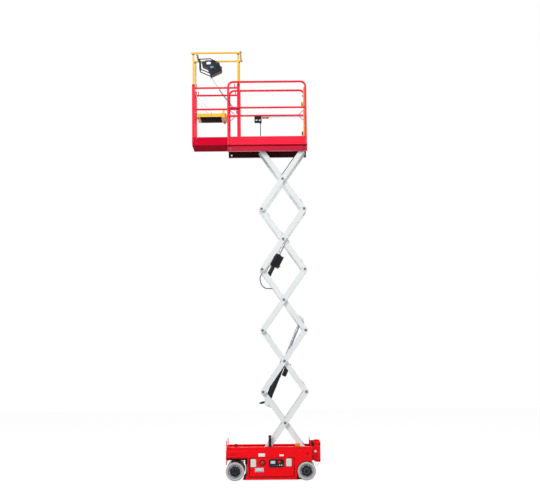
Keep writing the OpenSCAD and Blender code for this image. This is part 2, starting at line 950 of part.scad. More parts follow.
// Control box in its guard frame, hooked on the front bar of the upper guard.
module control_box() {
  outline = [[8, 3], [206, 12], [378, -78], [226, -284], [196, -268], [8, -182]];
  shell = [[60, -58], [140, -34], [300, -60], [368, -88], [414, -186], [402, -204], [226, -288],
    [204, -276], [150, -150], [60, -110]];
  hook_z = 60 + guard_d / 2 - 2 + slide_gap;
  hook_x = guard_d / 2 - 31 + slide_gap;
  color(black)
    translate([post_front + 85, 0, guard_z - 60]) {
      translate([0, 110, 0])
        rotate([90, 0, 0])
          linear_extrude(height = 220)
            polygon(shell);
      translate([214, 0, -306])
        cylinder(d = 24, h = 40);
      both_sides()
        translate([0, 121, 0])
          rotate([90, 0, 0])
            linear_extrude(height = 12)
              difference() {
                polygon(outline);
                offset(delta = -16)
                  polygon(outline);
              }
      block([8, -121, -13], [24, 121, 3]);
      block([8, -121, -180], [24, 121, -164]);
      for (y = [-80, 80]) {
        block([-50, y - 12, hook_z], [-8, y + 12, hook_z + 6]);
        block([hook_x, y - 12, -13], [-8, y + 12, hook_z + 6]);
        block([hook_x, y - 12, -13], [10, y + 12, 3]);
      }
    }
}

module control_cord() {
  a = [post_front + 299, 0, guard_z - 366 - slide_gap];
  b = [post_rear - post_side / 2 - 15 - slide_gap, post_y, floor_z + 720];
  color(black) {
    translate(a - [0, 0, 24])
      cylinder(d = 20, h = 24);
    bar(a - [0, 0, 14], b, 16);
    translate(b - [0, 0, 25])
      cylinder(d = 30, h = 50);
  }
}

translate([shift_x, 0, 0]) {
  side_channels();
  chassis_floor();
  spine();
  rear_box();
  base_pivot();
  front_panel();
  rear_panel();
  entry_ladder();
  beacon();
  sensor_post();
  stop_knob();
  near_tray();
  control_panel();
  near_fittings();
  far_tray();
  far_fittings();
  near_guard();
  far_guard();
  near_knuckle();
  far_knuckle();
  tie_rod();
  tyre(front_x, -1);  // front_near_tyre
  rim(front_x, -1);  // front_near_rim
  tyre(front_x, 1);  // front_far_tyre
  rim(front_x, 1);  // front_far_rim
  tyre(rear_x, -1);  // rear_near_tyre
  rim(rear_x, -1);  // rear_near_rim
  tyre(rear_x, 1);  // rear_far_tyre
  rim(rear_x, 1);  // rear_far_rim
  outer_pair(1);  // outer_arms_1
  outer_pair(2);  // outer_arms_2
  outer_pair(3);  // outer_arms_3
  outer_pair(4);  // outer_arms_4
  outer_pair(5);  // outer_arms_5
  inner_arms_1();
  inner_pair(2);  // inner_arms_2
  inner_arms_3();
  inner_arms_4();
  inner_pair(5);  // inner_arms_5
  low_barrel();
  low_rod();
  up_barrel();
  up_rod();
  platform_frame();
  main_deck();
  near_rail();
  far_rail();
  gate();
  outlet_box();
  ext_deck();
  ext_frame();
  upper_guard();
  step_deck();
  step_rests();
  step_stays();
  control_box();
  control_cord();
}
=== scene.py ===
import itertools
import math

import bmesh
import bpy
from mathutils import Matrix, Vector


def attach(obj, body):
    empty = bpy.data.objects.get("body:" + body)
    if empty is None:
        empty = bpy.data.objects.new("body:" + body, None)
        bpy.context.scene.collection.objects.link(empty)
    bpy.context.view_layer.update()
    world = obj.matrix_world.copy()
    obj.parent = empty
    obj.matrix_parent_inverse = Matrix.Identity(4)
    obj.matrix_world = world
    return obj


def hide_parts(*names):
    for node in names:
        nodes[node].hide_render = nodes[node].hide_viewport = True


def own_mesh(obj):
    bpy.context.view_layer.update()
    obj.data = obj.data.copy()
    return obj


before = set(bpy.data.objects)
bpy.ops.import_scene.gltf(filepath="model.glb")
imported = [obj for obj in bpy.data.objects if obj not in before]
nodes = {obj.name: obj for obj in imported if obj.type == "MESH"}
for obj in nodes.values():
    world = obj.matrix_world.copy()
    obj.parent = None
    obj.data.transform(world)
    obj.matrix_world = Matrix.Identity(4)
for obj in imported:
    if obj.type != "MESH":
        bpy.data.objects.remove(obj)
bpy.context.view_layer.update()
print("frame loaded,", len(nodes), "CAD nodes")

machineX = 240.5  # the drawing's zero, the middle of the wheelbase, is this far along scene X


def addObject(name, data):
    made = bpy.data.objects.new(name, data)
    bpy.context.scene.collection.objects.link(made)
    return made


def at(x, y, z):  # drawing millimetres to scene metres
    return Vector(((x + machineX) / 1000, y / 1000, z / 1000))


# camera: a plain side view from far off, tilted up a little

cameraSet = {"place": (0.262, -20.7, 2.0), "tiltUp": 5.47, "roll": -0.55, "lens": 78.5, "sensor": 36}


def placeCamera(place, tiltUp, roll, lens, sensor):
    data = bpy.data.cameras.new("sideCamera")
    data.sensor_fit = "HORIZONTAL"
    data.sensor_width = sensor
    data.lens = lens
    data.clip_end = 200
    camera = addObject("sideCamera", data)
    turn = Matrix.Rotation(math.radians(90 + tiltUp), 4, "X")
    camera.matrix_world = Matrix.Translation(place) @ turn @ Matrix.Rotation(math.radians(roll), 4, "Z")
    bpy.context.scene.camera = camera


placeCamera(**cameraSet)
print("camera placed")


# shader sockets as values

class Wire:
    def __init__(self, tree, socket=None):
        self.tree = tree
        self.socket = socket

    def make(self, kind, settings=None, inputs=None, outlet=0):
        made = self.tree.nodes.new("ShaderNode" + kind)
        for key, value in (settings or {}).items():
            setattr(made, key, value)
        for key, value in (inputs or {}).items():
            if isinstance(value, Wire):
                self.tree.links.new(value.socket, made.inputs[key])
            else:
                made.inputs[key].default_value = value
        return Wire(self.tree, made.outputs[outlet])

    def calc(self, operation, *terms):
        return self.make("Math", {"operation": operation}, dict(enumerate(terms)))

    def __add__(self, other):
        return self.calc("ADD", self, other)

    __radd__ = __add__

    def __sub__(self, other):
        return self.calc("SUBTRACT", self, other)

    def __rsub__(self, other):
        return self.calc("SUBTRACT", other, self)

    def __mul__(self, other):
        return self.calc("MULTIPLY", self, other)

    __rmul__ = __mul__

    def __gt__(self, other):
        return self.calc("GREATER_THAN", self, other)

    def spread(self, low, high):  # 0 at low, 1 at high, clamped
        return self.make("MapRange", {"clamp": True}, {0: self, 1: low, 2: high, 3: 0.0, 4: 1.0})

    def between(self, low, high):  # this value chooses between two colours
        return self.make("Mix", {"data_type": "RGBA"}, {0: self, 6: low, 7: high}, 2)

    def dot(self, other):
        return self.make("VectorMath", {"operation": "DOT_PRODUCT"}, {0: self, 1: other}, 1)

    def part(self, letter):
        return self.make("SeparateXYZ", None, {0: self}, "XYZ".index(letter))

    def noise(self, scale, detail=3, rough=0.5):
        return self.make("TexNoise", None, {"Vector": self, "Scale": scale, "Detail": detail, "Roughness": rough})

    def cells(self, scale, outlet="Distance"):
        return self.make("TexVoronoi", None, {"Vector": self, "Scale": scale}, outlet)

    def moved(self, place=(0, 0, 0), turn=(0, 0, 0), size=(1, 1, 1)):
        return self.make("Mapping", {"vector_type": "POINT"},
                         {"Vector": self, "Location": place, "Rotation": turn, "Scale": size})


def colour(red, green, blue):  # sRGB bytes to a shader colour
    return tuple(v / 3294.6 if v < 10.4 else ((v / 255 + 0.055) / 1.055) ** 2.4 for v in (red, green, blue)) + (1,)


def colours(*tones):  # one shader colour for each triple of bytes
    return [colour(*tone) for tone in tones]


def newFinish(name, fixed):
    material = bpy.data.materials.new(name)
    material.use_nodes = True
    shader = material.node_tree.nodes["Principled BSDF"]
    for socket, value in fixed.items():
        shader.inputs[socket].default_value = value
    spot = Wire(material.node_tree).make("TexCoord", outlet="Object")
    return material, shader, spot


def feed(shader, links):
    for socket, wire in links.items():
        wire.tree.links.new(wire.socket, shader.inputs[socket])


def softNormal(spot, radius):  # rounds the sharp edges of the solids
    return spot.make("Bevel", {"samples": 4}, {"Radius": radius})


def faceNormal(spot):
    return spot.make("NewGeometry", outlet="Normal")


def bumpy(height, strength, distance, normal):
    return height.make("Bump", None, {"Strength": strength, "Distance": distance, "Height": height, "Normal": normal})


def paintFinish(name, tone, lift, chip, gloss=0.3, edge=0.003, dust=0.25, shine=0.2, coat=0.08, peelDepth=0.0008,
                under=None, insideShade=None):
    # sprayed enamel: faint cloudiness, orange peel, rubbed edges, dust on what faces up
    tone, lift, chip = colours(tone, lift, chip)
    material, shader, spot = newFinish(name, {"Coat Weight": coat, "Coat Roughness": 0.12, "Specular IOR Level": shine})
    cloud = spot.noise(2.3, 4)
    fine = spot.noise(31, 4, 0.6)
    peel = spot.noise(260, 2)
    rounded = softNormal(spot, edge)
    upward = faceNormal(spot).part("Z")
    worn = (1 - rounded.dot(faceNormal(spot))).spread(0.03, 0.3) * fine.spread(0.5, 0.72)
    dusty = upward.spread(0.6, 0.95) * spot.noise(9, 5, 0.65).spread(0.35, 0.75) * dust
    body = cloud.spread(0.3, 0.7).between(tone, lift)
    if insideShade:  # painted shade: dark maroon on every face except the outer sides
        body = (spot.part("Y") * faceNormal(spot).part("Y")).spread(0.2, 0.0).between(body, colour(*insideShade))
    if under:  # a punched sheet on the underside, its holes darkened with painted shade
        flat = spot.moved(size=(1, 1, 0))
        holes = flat.make("TexVoronoi", None, {"Vector": flat, "Scale": 46.0, "Randomness": 0.0}, "Distance")
        sheet = (holes.spread(0.36, 0.26) * 0.6).between(colour(*under), colour(96, 10, 18))
        body = upward.spread(-0.4, -0.8).between(body, sheet)
    body = dusty.between(body, colour(206, 198, 190))
    body = (worn * 0.55).between(body, chip)
    feed(shader, {
        "Base Color": body,
        "Roughness": cloud * 0.1 + fine * 0.08 + dusty * 0.3 + worn * 0.2 + (gloss - 0.09),
        "Normal": bumpy(peel + fine * 0.6, 0.1, peelDepth, rounded)})
    return material


def metalFinish(name, tone, stain, rough, grain, edge=0.002):
    # bare metal: brushed lines along the grain and a little staining
    tone, stain = colours(tone, stain)
    material, shader, spot = newFinish(name, {"Metallic": 1.0, "Specular IOR Level": 0.5})
    lines = spot.moved(size=grain).noise(90, 4, 0.6)
    patch = spot.noise(14, 5, 0.6)
    feed(shader, {
        "Base Color": patch.spread(0.42, 0.75).between(tone, stain),
        "Roughness": lines * 0.22 + patch * 0.18 + (rough - 0.2),
        "Normal": bumpy(lines, 0.12, 0.0006, softNormal(spot, edge))})
    return material


def plasticFinish(name, tone, lift, rough=0.45, grainScale=420, edge=0.0025, shine=0.2):
    # moulded plastic: fine leathery grain, pale scuffs on the edges
    tone, lift = colours(tone, lift)
    material, shader, spot = newFinish(name, {"Specular IOR Level": shine})
    grain = spot.cells(grainScale)
    cloud = spot.noise(11, 4)
    rounded = softNormal(spot, edge)
    scuff = (1 - rounded.dot(faceNormal(spot))).spread(0.02, 0.25) * spot.noise(70, 4).spread(0.45, 0.7)
    body = cloud.spread(0.3, 0.75).between(tone, lift)
    feed(shader, {
        "Base Color": (scuff * 0.35).between(body, colour(120, 124, 128)),
        "Roughness": cloud * 0.16 + scuff * 0.15 + (rough - 0.08),
        "Normal": bumpy(grain, 0.1, 0.0006, rounded)})
    return material


def axleReach(spot, centre):  # distance from an axle along Y
    local = spot.moved(place=tuple(-v for v in centre))
    across, upward = local.part("X"), local.part("Z")
    square = across * across + upward * upward
    return square.calc("SQRT", square)


def tyreFinish(name, centre, radius):
    # pale non-marking rubber: faint moulding rings on the wall, scuffed and greyer on the tread
    material, shader, spot = newFinish(name, {"Specular IOR Level": 0.25})
    reach = axleReach(spot, centre)
    rings = reach.calc("SINE", reach * 900)
    mottle = spot.noise(38, 5, 0.6)
    tread = reach.spread(radius - 0.012, radius - 0.001)
    scuff = tread * mottle.spread(0.3, 0.7)
    body = mottle.spread(0.3, 0.75).between(colour(203, 198, 188), colour(186, 180, 169))
    feed(shader, {
        "Base Color": (scuff * 0.75).between(body, colour(138, 131, 120)),
        "Roughness": mottle * 0.2 + 0.62,
        "Normal": bumpy(rings * 0.5 + spot.noise(330, 2), 0.25, 0.0012, softNormal(spot, 0.003))})
    return material


def rimFinish(name, centre, hub):
    # sprayed rim: blue-grey dish round a black hub, brake dust in the dish
    material, shader, spot = newFinish(name, {"Specular IOR Level": 0.2, "Coat Weight": 0.05})
    reach = axleReach(spot, centre)
    mottle = spot.noise(24, 5, 0.6)
    dish = reach.spread(hub - 0.002, hub + 0.002)
    grey = mottle.spread(0.3, 0.75).between(colour(150, 165, 188), colour(124, 138, 162))
    dark = mottle.spread(0.3, 0.75).between(colour(10, 12, 18), colour(20, 23, 30))
    feed(shader, {
        "Base Color": dish.between(dark, grey),
        "Roughness": mottle * 0.25 + 0.28,
        "Normal": bumpy(spot.noise(240, 3), 0.12, 0.001, softNormal(spot, 0.002))})
    return material


def treadFinish(name, tone, stain):
    # pressed tread plate: rows of slanted studs on what faces up
    tone, stain = colours(tone, stain)
    material, shader, spot = newFinish(name, {"Metallic": 0.85, "Specular IOR Level": 0.5})
    top = faceNormal(spot).part("Z") > 0.7
    right = spot.moved(turn=(0, 0, 0.785), size=(42, 15, 1)).cells(1.0)
    left = spot.moved(place=(0.31, 0.2, 0), turn=(0, 0, -0.785), size=(42, 15, 1)).cells(1.0)
    stud = right.calc("MINIMUM", right, left).spread(0.34, 0.2)
    patch = spot.noise(5, 5, 0.6)
    body = patch.spread(0.35, 0.75).between(tone, stain)
    feed(shader, {
        "Base Color": (stud * top * 0.45).between(body, colour(226, 228, 230)),
        "Roughness": patch * 0.25 + 0.32 - stud * 0.08,
        "Normal": bumpy(stud * top + spot.noise(120, 3) * 0.1, 0.6, 0.003, softNormal(spot, 0.002))})
    return material


red = paintFinish("redEnamel", (255, 2, 20), (248, 0, 16), (130, 20, 24), shine=0.12, coat=0.05)
crimson = paintFinish("crimsonEnamel", (252, 30, 66), (244, 20, 54), (130, 20, 34))
# painted shade: the platform frame's band in a darker crimson than the rails, dark maroon on every face except its
# outer sides
bandShadeRed = paintFinish("bandShadeEnamel", (206, 6, 54), (194, 4, 46), (100, 16, 26), insideShade=(74, 3, 9))
deckRed = paintFinish("deckRedEnamel", (218, 16, 52), (204, 10, 44), (110, 20, 30), gloss=0.5,
                      shine=0.0, coat=0.0, under=(228, 42, 64))
# painted shade: a dark red for the strips along the deck edge under the toe boards
shadeStripRed = paintFinish("shadeStripRed", (126, 4, 16), (104, 2, 12), (80, 20, 24), gloss=0.5, shine=0.04, coat=0.0)
# painted shadow: a dark red for the band along the foot of each side tray and under its inlet cover
hemShadeRed = paintFinish("hemShadeEnamel", (128, 4, 12), (112, 2, 8), (70, 14, 16))
white = paintFinish("armWhite", (232, 235, 236), (226, 230, 231), (150, 150, 146), dust=0.15,
                    edge=0.002, peelDepth=0.0002)
yellow = paintFinish("safetyYellow", (252, 200, 70), (247, 190, 56), (150, 110, 40))
black = paintFinish("actuatorBlack", (16, 20, 28), (24, 29, 38), (90, 92, 96), gloss=0.35)
plateWhite = paintFinish("plateWhite", (230, 232, 220), (220, 222, 210), (150, 150, 150), gloss=0.45)
labelWhite = paintFinish("labelWhite", (246, 247, 252), (238, 240, 246), (170, 172, 176), gloss=0.4)
steel = metalFinish("brightSteel", (196, 199, 203), (160, 162, 164), 0.32, (1, 1, 14))
rodSteel = metalFinish("rodSteel", (150, 152, 166), (118, 120, 136), 0.3, (1, 1, 6))
slate = plasticFinish("slatePlastic", (30, 40, 56), (24, 32, 46))
soot = plasticFinish("blackPlastic", (14, 16, 20), (22, 24, 29))
dullBlack = plasticFinish("dullBlack", (20, 18, 16), (28, 25, 22), rough=0.7, shine=0.02)
maroon = plasticFinish("knobRed", (112, 8, 14), (96, 4, 10), rough=0.35)
amber = plasticFinish("amberLens", (246, 150, 20), (236, 128, 10), rough=0.2, grainScale=120)
tread = treadFinish("treadPlate", (168, 172, 176), (140, 143, 146))
cordBlack = plasticFinish("cordBlack", (30, 32, 36), (40, 43, 48), rough=0.5)
zinc = metalFinish("zincYellow", (214, 196, 140), (170, 150, 100), 0.36, (1, 1, 1))
darkSteel = metalFinish("darkSteel", (112, 114, 118), (78, 80, 84), 0.42, (1, 1, 1))
brass = metalFinish("brass", (214, 176, 96), (160, 124, 60), 0.32, (1, 1, 1))
signalRed = plasticFinish("signalRed", (238, 30, 30), (222, 20, 24), rough=0.28)
paleGrey = plasticFinish("paleGrey", (176, 178, 180), (160, 162, 165), rough=0.5)
screenGlass = plasticFinish("screenGlass", (214, 222, 234), (196, 206, 222), rough=0.14, grainScale=60)
ledBlue = plasticFinish("ledBlue", (60, 130, 220), (40, 100, 190), rough=0.2)
tagOrange = paintFinish("tagOrange", (244, 98, 40), (232, 84, 30), (140, 60, 30), gloss=0.45)
cyanCap = plasticFinish("cyanCap", (36, 226, 226), (24, 210, 214), rough=0.3)
skyPlate = plasticFinish("skyPlate", (128, 176, 196), (112, 160, 182), rough=0.4)
oxblood = plasticFinish("oxblood", (58, 20, 26), (44, 14, 20))
print("finishes mixed")

finishOf = {
    red: ["side_channels", "chassis_floor", "spine", "rear_box", "base_pivot", "front_panel", "rear_panel",
          "entry_ladder", "near_tray", "far_tray", "near_guard", "far_guard"],
    crimson: ["near_rail", "far_rail", "ext_frame"],
    bandShadeRed: ["platform_frame"],
    deckRed: ["ext_deck"],
    white: [f"{side}_arms_{k}" for side in ("outer", "inner") for k in range(1, 6)],
    yellow: ["gate", "upper_guard", "step_deck", "step_rests"],
    black: ["low_barrel", "up_barrel", "near_knuckle", "far_knuckle"],
    steel: ["tie_rod", "step_stays"],
    rodSteel: ["low_rod", "up_rod"],
    plateWhite: ["near_fittings", "far_fittings"],
    slate: ["control_box"],
    soot: ["sensor_post", "control_panel", "outlet_box"],
    maroon: ["stop_knob"],
    amber: ["beacon"],
    tread: ["main_deck"],
    cordBlack: ["control_cord"],
}


def coatNode(name, finish):
    data = nodes[name].data
    data.materials.clear()
    data.materials.append(finish)


for finish, names in finishOf.items():
    for name in names:
        coatNode(name, finish)
wheelSet = {"x": 611, "y": 330, "z": 158, "radius": 0.158, "hub": {"front": 0.089, "rear": 0.091}}
wheelEnds = (("front", -wheelSet["x"]), ("rear", wheelSet["x"]))
sides = (("near", -1), ("far", 1))
for end, x in wheelEnds:
    for side, s in sides:
        name, centre = f"{end}{side.title()}", at(x, s * wheelSet["y"], wheelSet["z"])
        coatNode(f"{end}_{side}_tyre", tyreFinish(name + "Rubber", centre, wheelSet["radius"]))
        coatNode(f"{end}_{side}_rim", rimFinish(name + "Rim", centre, wheelSet["hub"][end]))
print("CAD nodes finished")


# mesh helpers: drawing millimetres in, one finished object out

sharpAngle = math.radians(38)
drawing = Matrix.Translation((machineX / 1000, 0, 0)) @ Matrix.Scale(0.001, 4)


def facing(point, axis, place=drawing):  # local Z runs out of a face at this point
    return place @ Matrix.Translation(point) @ Vector(axis).to_track_quat("Z", "Y").to_matrix().to_4x4()


def aside(s, x, y, z, place=drawing):  # local Z runs out to a side
    return facing((x, y, z), (0, s, 0), place)


def onTop(x, y, z):  # local Z runs up
    return facing((x, y, z), (0, 0, 1))


def blanks(count):
    return [bmesh.new() for _ in range(count)]


def settle(shape, before, place):  # puts what was added since then in its place
    bmesh.ops.transform(shape, matrix=place, verts=[vert for vert in shape.verts if vert not in before])


def soften(shape, edges, offset, steps=2):
    bmesh.ops.bevel(shape, geom=edges, offset=offset, offset_type="OFFSET", segments=steps, profile=0.5,
                    affect="EDGES", clamp_overlap=True, material=-1)


def slab(shape, low, high, soft=1.5, place=drawing):
    before = set(shape.verts)
    low, high = Vector(low), Vector(high)
    middle = Matrix.Translation((low + high) / 2) @ Matrix.Diagonal((*(high - low), 1))
    made = bmesh.ops.create_cube(shape, size=1, matrix=middle)
    if soft:
        soften(shape, list({edge for vert in made["verts"] for edge in vert.link_edges}), soft)
    settle(shape, before, place)


def rod(shape, a, b, radius, soft=1.0, facets=24, tip=None, place=drawing):
    before = set(shape.verts)
    a, b = Vector(a), Vector(b)
    made = bmesh.ops.create_cone(shape, cap_ends=True, segments=facets, radius1=radius,
                                 radius2=radius if tip is None else tip, depth=(b - a).length)
    if soft:
        edges = {edge for vert in made["verts"] for edge in vert.link_edges}
        soften(shape, [e for e in edges if any(len(f.verts) > 4 for f in e.link_faces)], soft)
    turn = (b - a).to_track_quat("Z", "Y").to_matrix().to_4x4()
    settle(shape, before, place @ Matrix.Translation((a + b) / 2) @ turn)


def turned(shape, profile, place, steps=36):  # radius and height pairs spun round local Z
    before = set(shape.verts)
    ring = profile[0][0] > 0 and profile[-1][0] > 0
    if not ring:  # the base is closed to the axis, a ring on itself
        profile = [*profile, (0, profile[-1][1])] if profile[0][0] == 0 else [(0, profile[0][1]), *profile]
    points = [shape.verts.new((radius, 0, height)) for radius, height in profile]
    edges = [shape.edges.new(pair) for pair in zip(points, points[1:] + points[:ring])]
    bmesh.ops.spin(shape, geom=points + edges, cent=(0, 0, 0), axis=(0, 0, 1), angle=2 * math.pi,
                   steps=steps, use_merge=True)
    bmesh.ops.remove_doubles(shape, verts=[vert for vert in shape.verts if vert not in before], dist=0.001)
    settle(shape, before, place)


def arch(shape, reach, depth, start, sweep, place, steps=28):  # part of a ring about local Z, angles in degrees
    before = set(shape.verts)
    aim = Matrix.Rotation(math.radians(start), 4, "Z")
    corners = [(reach[0], depth[0]), (reach[1], depth[0]), (reach[1], depth[1]), (reach[0], depth[1])]
    end = shape.faces.new([shape.verts.new(aim @ Vector((r, 0, z))) for r, z in corners])
    bmesh.ops.spin(shape, geom=[end, *end.edges, *end.verts], cent=(0, 0, 0), axis=(0, 0, 1),
                   angle=math.radians(sweep), steps=steps)
    settle(shape, before, place)


def prism(shape, outline, y0, y1, place=drawing, inset=None):  # an X-Z outline drawn across Y
    before = set(shape.verts)
    face = shape.faces.new([shape.verts.new((x, y0, z)) for x, z in outline])
    grown = bmesh.ops.extrude_face_region(shape, geom=[face])["geom"]
    bmesh.ops.translate(shape, vec=(0, y1 - y0, 0), verts=[v for v in grown if isinstance(v, bmesh.types.BMVert)])
    if inset:
        top = [f for f in grown if isinstance(f, bmesh.types.BMFace)]
        bmesh.ops.inset_region(shape, faces=top, thickness=inset[0], depth=inset[1], use_even_offset=True)
    settle(shape, before, place)


def bolt(shape, point, axis, size, place=drawing):  # hexagon head on a washer
    spot = facing(point, axis, place)
    rod(shape, (0, 0, 0), (0, 0, size * 0.3), size * 1.1, size * 0.08, 20, place=spot)
    rod(shape, (0, 0, size * 0.25), (0, 0, size * 0.9), size * 0.8, size * 0.12, 6, place=spot)


def boltGrid(shape, xs, ys, zs, axis, size, place=drawing):
    for point in itertools.product(xs, ys, zs):
        bolt(shape, point, axis, size, place)


def boltRing(shape, count, shift, reach, height, size, place):  # bolts round local Z
    for n in range(count):
        turn = (n + shift) * 2 * math.pi / count
        bolt(shape, (reach * math.cos(turn), reach * math.sin(turn), height), (0, 0, 1), size, place)


def frameOf(shape, x, z, y, width, deep):  # flat border round a panel
    for low, high in ((z[0], z[0] + width), (z[1] - width, z[1])):
        slab(shape, (x[0], y, low), (x[1], y + deep, high), 1)
    for low, high in ((x[0], x[0] + width), (x[1] - width, x[1])):
        slab(shape, (low, y, z[0] + width), (high, y + deep, z[1] - width), 1)


def mount(name, data, body, finish):
    data.materials.append(finish)
    piece = addObject(name, data)
    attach(piece, body)
    return piece


def dress(shape, name, body, finish):
    bmesh.ops.recalc_face_normals(shape, faces=shape.faces)
    data = bpy.data.meshes.new(name)
    shape.to_mesh(data)
    shape.free()
    data.shade_smooth()
    data.set_sharp_from_angle(angle=sharpAngle)
    return mount(name, data, body, finish)


def smoothLine(points, steps):  # rounded path through a few points
    points = [Vector(p) for p in points]
    ends = [2 * points[0] - points[1]] + points + [2 * points[-1] - points[-2]]
    line = []
    for a, b, c, d in zip(ends, ends[1:], ends[2:], ends[3:]):
        for n in range(steps):
            t = n / steps
            line.append(0.5 * (2 * b + (c - a) * t + (2 * a - 5 * b + 4 * c - d) * t * t
                               + (3 * b - a - 3 * c + d) * t ** 3))
    return line + [points[-1]]


def hose(name, line, radius, body, place=drawing):  # a free cord along a line
    line = [place @ Vector(p) for p in line]
    data = bpy.data.curves.new(name, "CURVE")
    data.dimensions = "3D"
    data.bevel_depth = radius / 1000
    data.bevel_resolution = 3
    data.use_fill_caps = True
    spline = data.splines.new("POLY")
    spline.points.add(len(line) - 1)
    for point, spot in zip(spline.points, line):
        point.co = (*spot, 1)
    piece = mount(name, data, body, cordBlack)
    length = sum((b - a).length for a, b in zip(line, line[1:]))
    print(name, "is", round(length, 3), "m long")
    return piece


stack = {"pinX": 625, "leftX": -119.63, "lowZ": 440, "rise": 1059.5, "angle": 54.9, "arm": 1295}


def innerPlace(k):  # along inner arm k from its lower pin
    turn = Matrix.Rotation(math.radians(stack["angle"] - 180), 4, "Y")
    return drawing @ Matrix.Translation((stack["pinX"], 0, stack["lowZ"] + (k - 1) * stack["rise"])) @ turn


def outerPlace(k):
    turn = Matrix.Rotation(math.radians(-stack["angle"]), 4, "Y")
    return drawing @ Matrix.Translation((stack["leftX"], 0, stack["lowZ"] + (k - 1) * stack["rise"])) @ turn


def actuatorPlace(foot, angle):
    return drawing @ Matrix.Translation((foot[0], 0, foot[1])) @ Matrix.Rotation(math.radians(-angle), 4, "Y")


# coiled lead from the control box to the rear post of the roll-out deck

leadSet = {"start": (-1003, 0, 7099.2), "end": (-550.3, 292, 6522.5), "radius": 3, "coilFrom": 0.27, "coilTo": 0.92,
           "coilRadius": 12.6, "slope": 1.38, "step": 5.6, "ease": 48, "sag": 24}


def eased(share):
    return share * share * (3 - 2 * share)


def leadLine(s):  # thin at the top, then wound on an even coil whose slope eases in and out
    a, b = Vector(s["start"]), Vector(s["end"])
    side = (b - a).cross(Vector((0, 0, 1))).normalized()
    over = side.cross(b - a).normalized()
    room = (s["coilTo"] - s["coilFrom"]) * (b - a).length
    count = round((room - s["ease"] * 1.1) / s["step"] / math.cos(s["slope"]))
    height, turn, coil = 0, 0, []
    for n in range(count + 1):
        coil.append((height, turn))
        ease = min(1, n * s["step"] / s["ease"], (count - n) * s["step"] / s["ease"])
        slope = s["slope"] * eased(ease)
        height += math.cos(slope) * s["step"]
        turn += math.sin(slope) * s["step"] / s["coilRadius"]

    def spot(share, turn, swell):
        hang = a.lerp(b, share) - Vector((0, 0, 4 * s["sag"] * share * (1 - share)))
        return hang + (side * math.cos(turn) + over * math.sin(turn)) * s["coilRadius"] * eased(swell)

    line = [spot(n / 16 * s["coilFrom"], 0, max(0, n / 16 - 0.75) * 4) for n in range(16)]
    for up, turn in coil:
        line.append(spot(s["coilFrom"] + up / height * (s["coilTo"] - s["coilFrom"]), turn, 1))
    last = coil[-1][1]
    return line + [spot(s["coilTo"] + n / 8 * (1 - s["coilTo"]), last, 1 - n / 8) for n in range(1, 9)]


controlLead = hose("controlLead", leadLine(leadSet), leadSet["radius"], "roll_out_deck")
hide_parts("control_cord")
shape = bmesh.new()
rod(shape, (-1003, 0, 7099), (-1003, 0, 7075), 9, 1, 20, tip=6)
rod(shape, (-550.3, 292, 6498), (-550.3, 292, 6548), 15, 3)
rod(shape, (-550.3, 292, 6540), (-535.3, 292, 6540), 8, 1)
dress(shape, "leadSockets", "roll_out_deck", soot)
print("control lead hung")


# wheels: hub covers, nuts and rim bolts

wheelTrim = {"face": 42, "floor": 24, "rimBolts": (6, 0.2, 95), "rimBolt": 8,
             "rear": {"cover": [(0, 6), (17, 6), (20, 4), (20, 1), (62, 1), (66, 0)],
                      "bolts": (8, 0.5, 45), "height": 1, "bolt": 7},
             "front": {"cover": [(0, 3), (34, 3), (38, 6), (54, 6), (60, 3), (72, 2), (76, 0)],
                       "bolts": (5, 0, 46), "height": 5, "bolt": 4}}


def trimWheel(end, side, x, s, t):
    place = aside(s, x, s * wheelSet["y"], wheelSet["z"])
    body, name, hub = f"{end}_{side}_wheel", f"{end}{side.title()}", t[end]
    cover, bolts, studs = blanks(3)
    turned(cover, [(reach, t["face"] + up) for reach, up in hub["cover"]], place)
    boltRing(studs, *hub["bolts"], t["face"] + hub["height"], hub["bolt"], place)
    boltRing(bolts, *t["rimBolts"], t["floor"], t["rimBolt"], place)
    dress(cover, f"{name}HubCover", body, soot)
    dress(studs, f"{name}HubBolts", body, darkSteel)
    dress(bolts, f"{name}RimBolts", body, zinc)


for end, x in wheelEnds:
    for side, s in sides:
        trimWheel(end, side, x, s, wheelTrim)
print("wheels trimmed")


# chassis band: pressed creases, blank plates, plugs, black discs of painted shade in the tie holes, and end bumpers

bandSet = {"half": 380, "crease": 495, "hem": 405, "front": -744, "rear": 694,
           "plateSpots": [((-210, -97), (408, 461)), ((147, 223), (413, 442))], "plug": (628, 455)}


def dressBand(half, crease, hem, front, rear, plateSpots, plug):
    creases, plates, plugsAndHoleShade = blanks(3)
    for side, s in sides:
        face = s * half
        rod(creases, (front, face - s * 1.5, crease), (rear, face - s * 1.5, crease), 4.5, 2, 16)
        rod(creases, (front, face - s * 2, hem), (rear, face - s * 2, hem), 4, 2, 16)
        for (x0, x1), (z0, z1) in plateSpots:
            slab(plates, (x0, face - s, z0), (x1, face + s * 1.6, z1), 0.6)
            for x, z in itertools.product((x0 + 6, x1 - 6), (z0 + 6, z1 - 6)):
                turned(plates, [(0, 2.4), (1.8, 2.2), (2.8, 1.2), (3, 0)], aside(s, x, face + s * 1.4, z), 16)
        x, z = plug
        turned(plugsAndHoleShade, [(0, 3), (11, 3), (13, 1), (17, 1), (18, 0)], aside(s, x, face, z))
        boltGrid(plugsAndHoleShade, (-710, -660, 480, 690), (face,), (545,), (0, s, 0), 5)
        for x in (-659, -605):  # rolled rims of the tie holes, and black discs inside them as painted shade
            turned(plugsAndHoleShade, [(10.5, 0), (11, 1.6), (13.5, 1.6), (14, 0)], aside(s, x, face, 446), 24)
            turned(plugsAndHoleShade, [(0, 1), (8, 1), (9.6, 0)], aside(s, x, face - s * 4, 446), 24)
    dress(creases, "bandCreases", "chassis", red)
    dress(plates, "bandPlates", "chassis", labelWhite)
    dress(plugsAndHoleShade, "bandPlugsAndHoleShade", "chassis", soot)


dressBand(**bandSet)

endSet = {"front": -758, "bumpers": (-250, 250), "bumperSize": (26, 9, 118), "middle": 448}


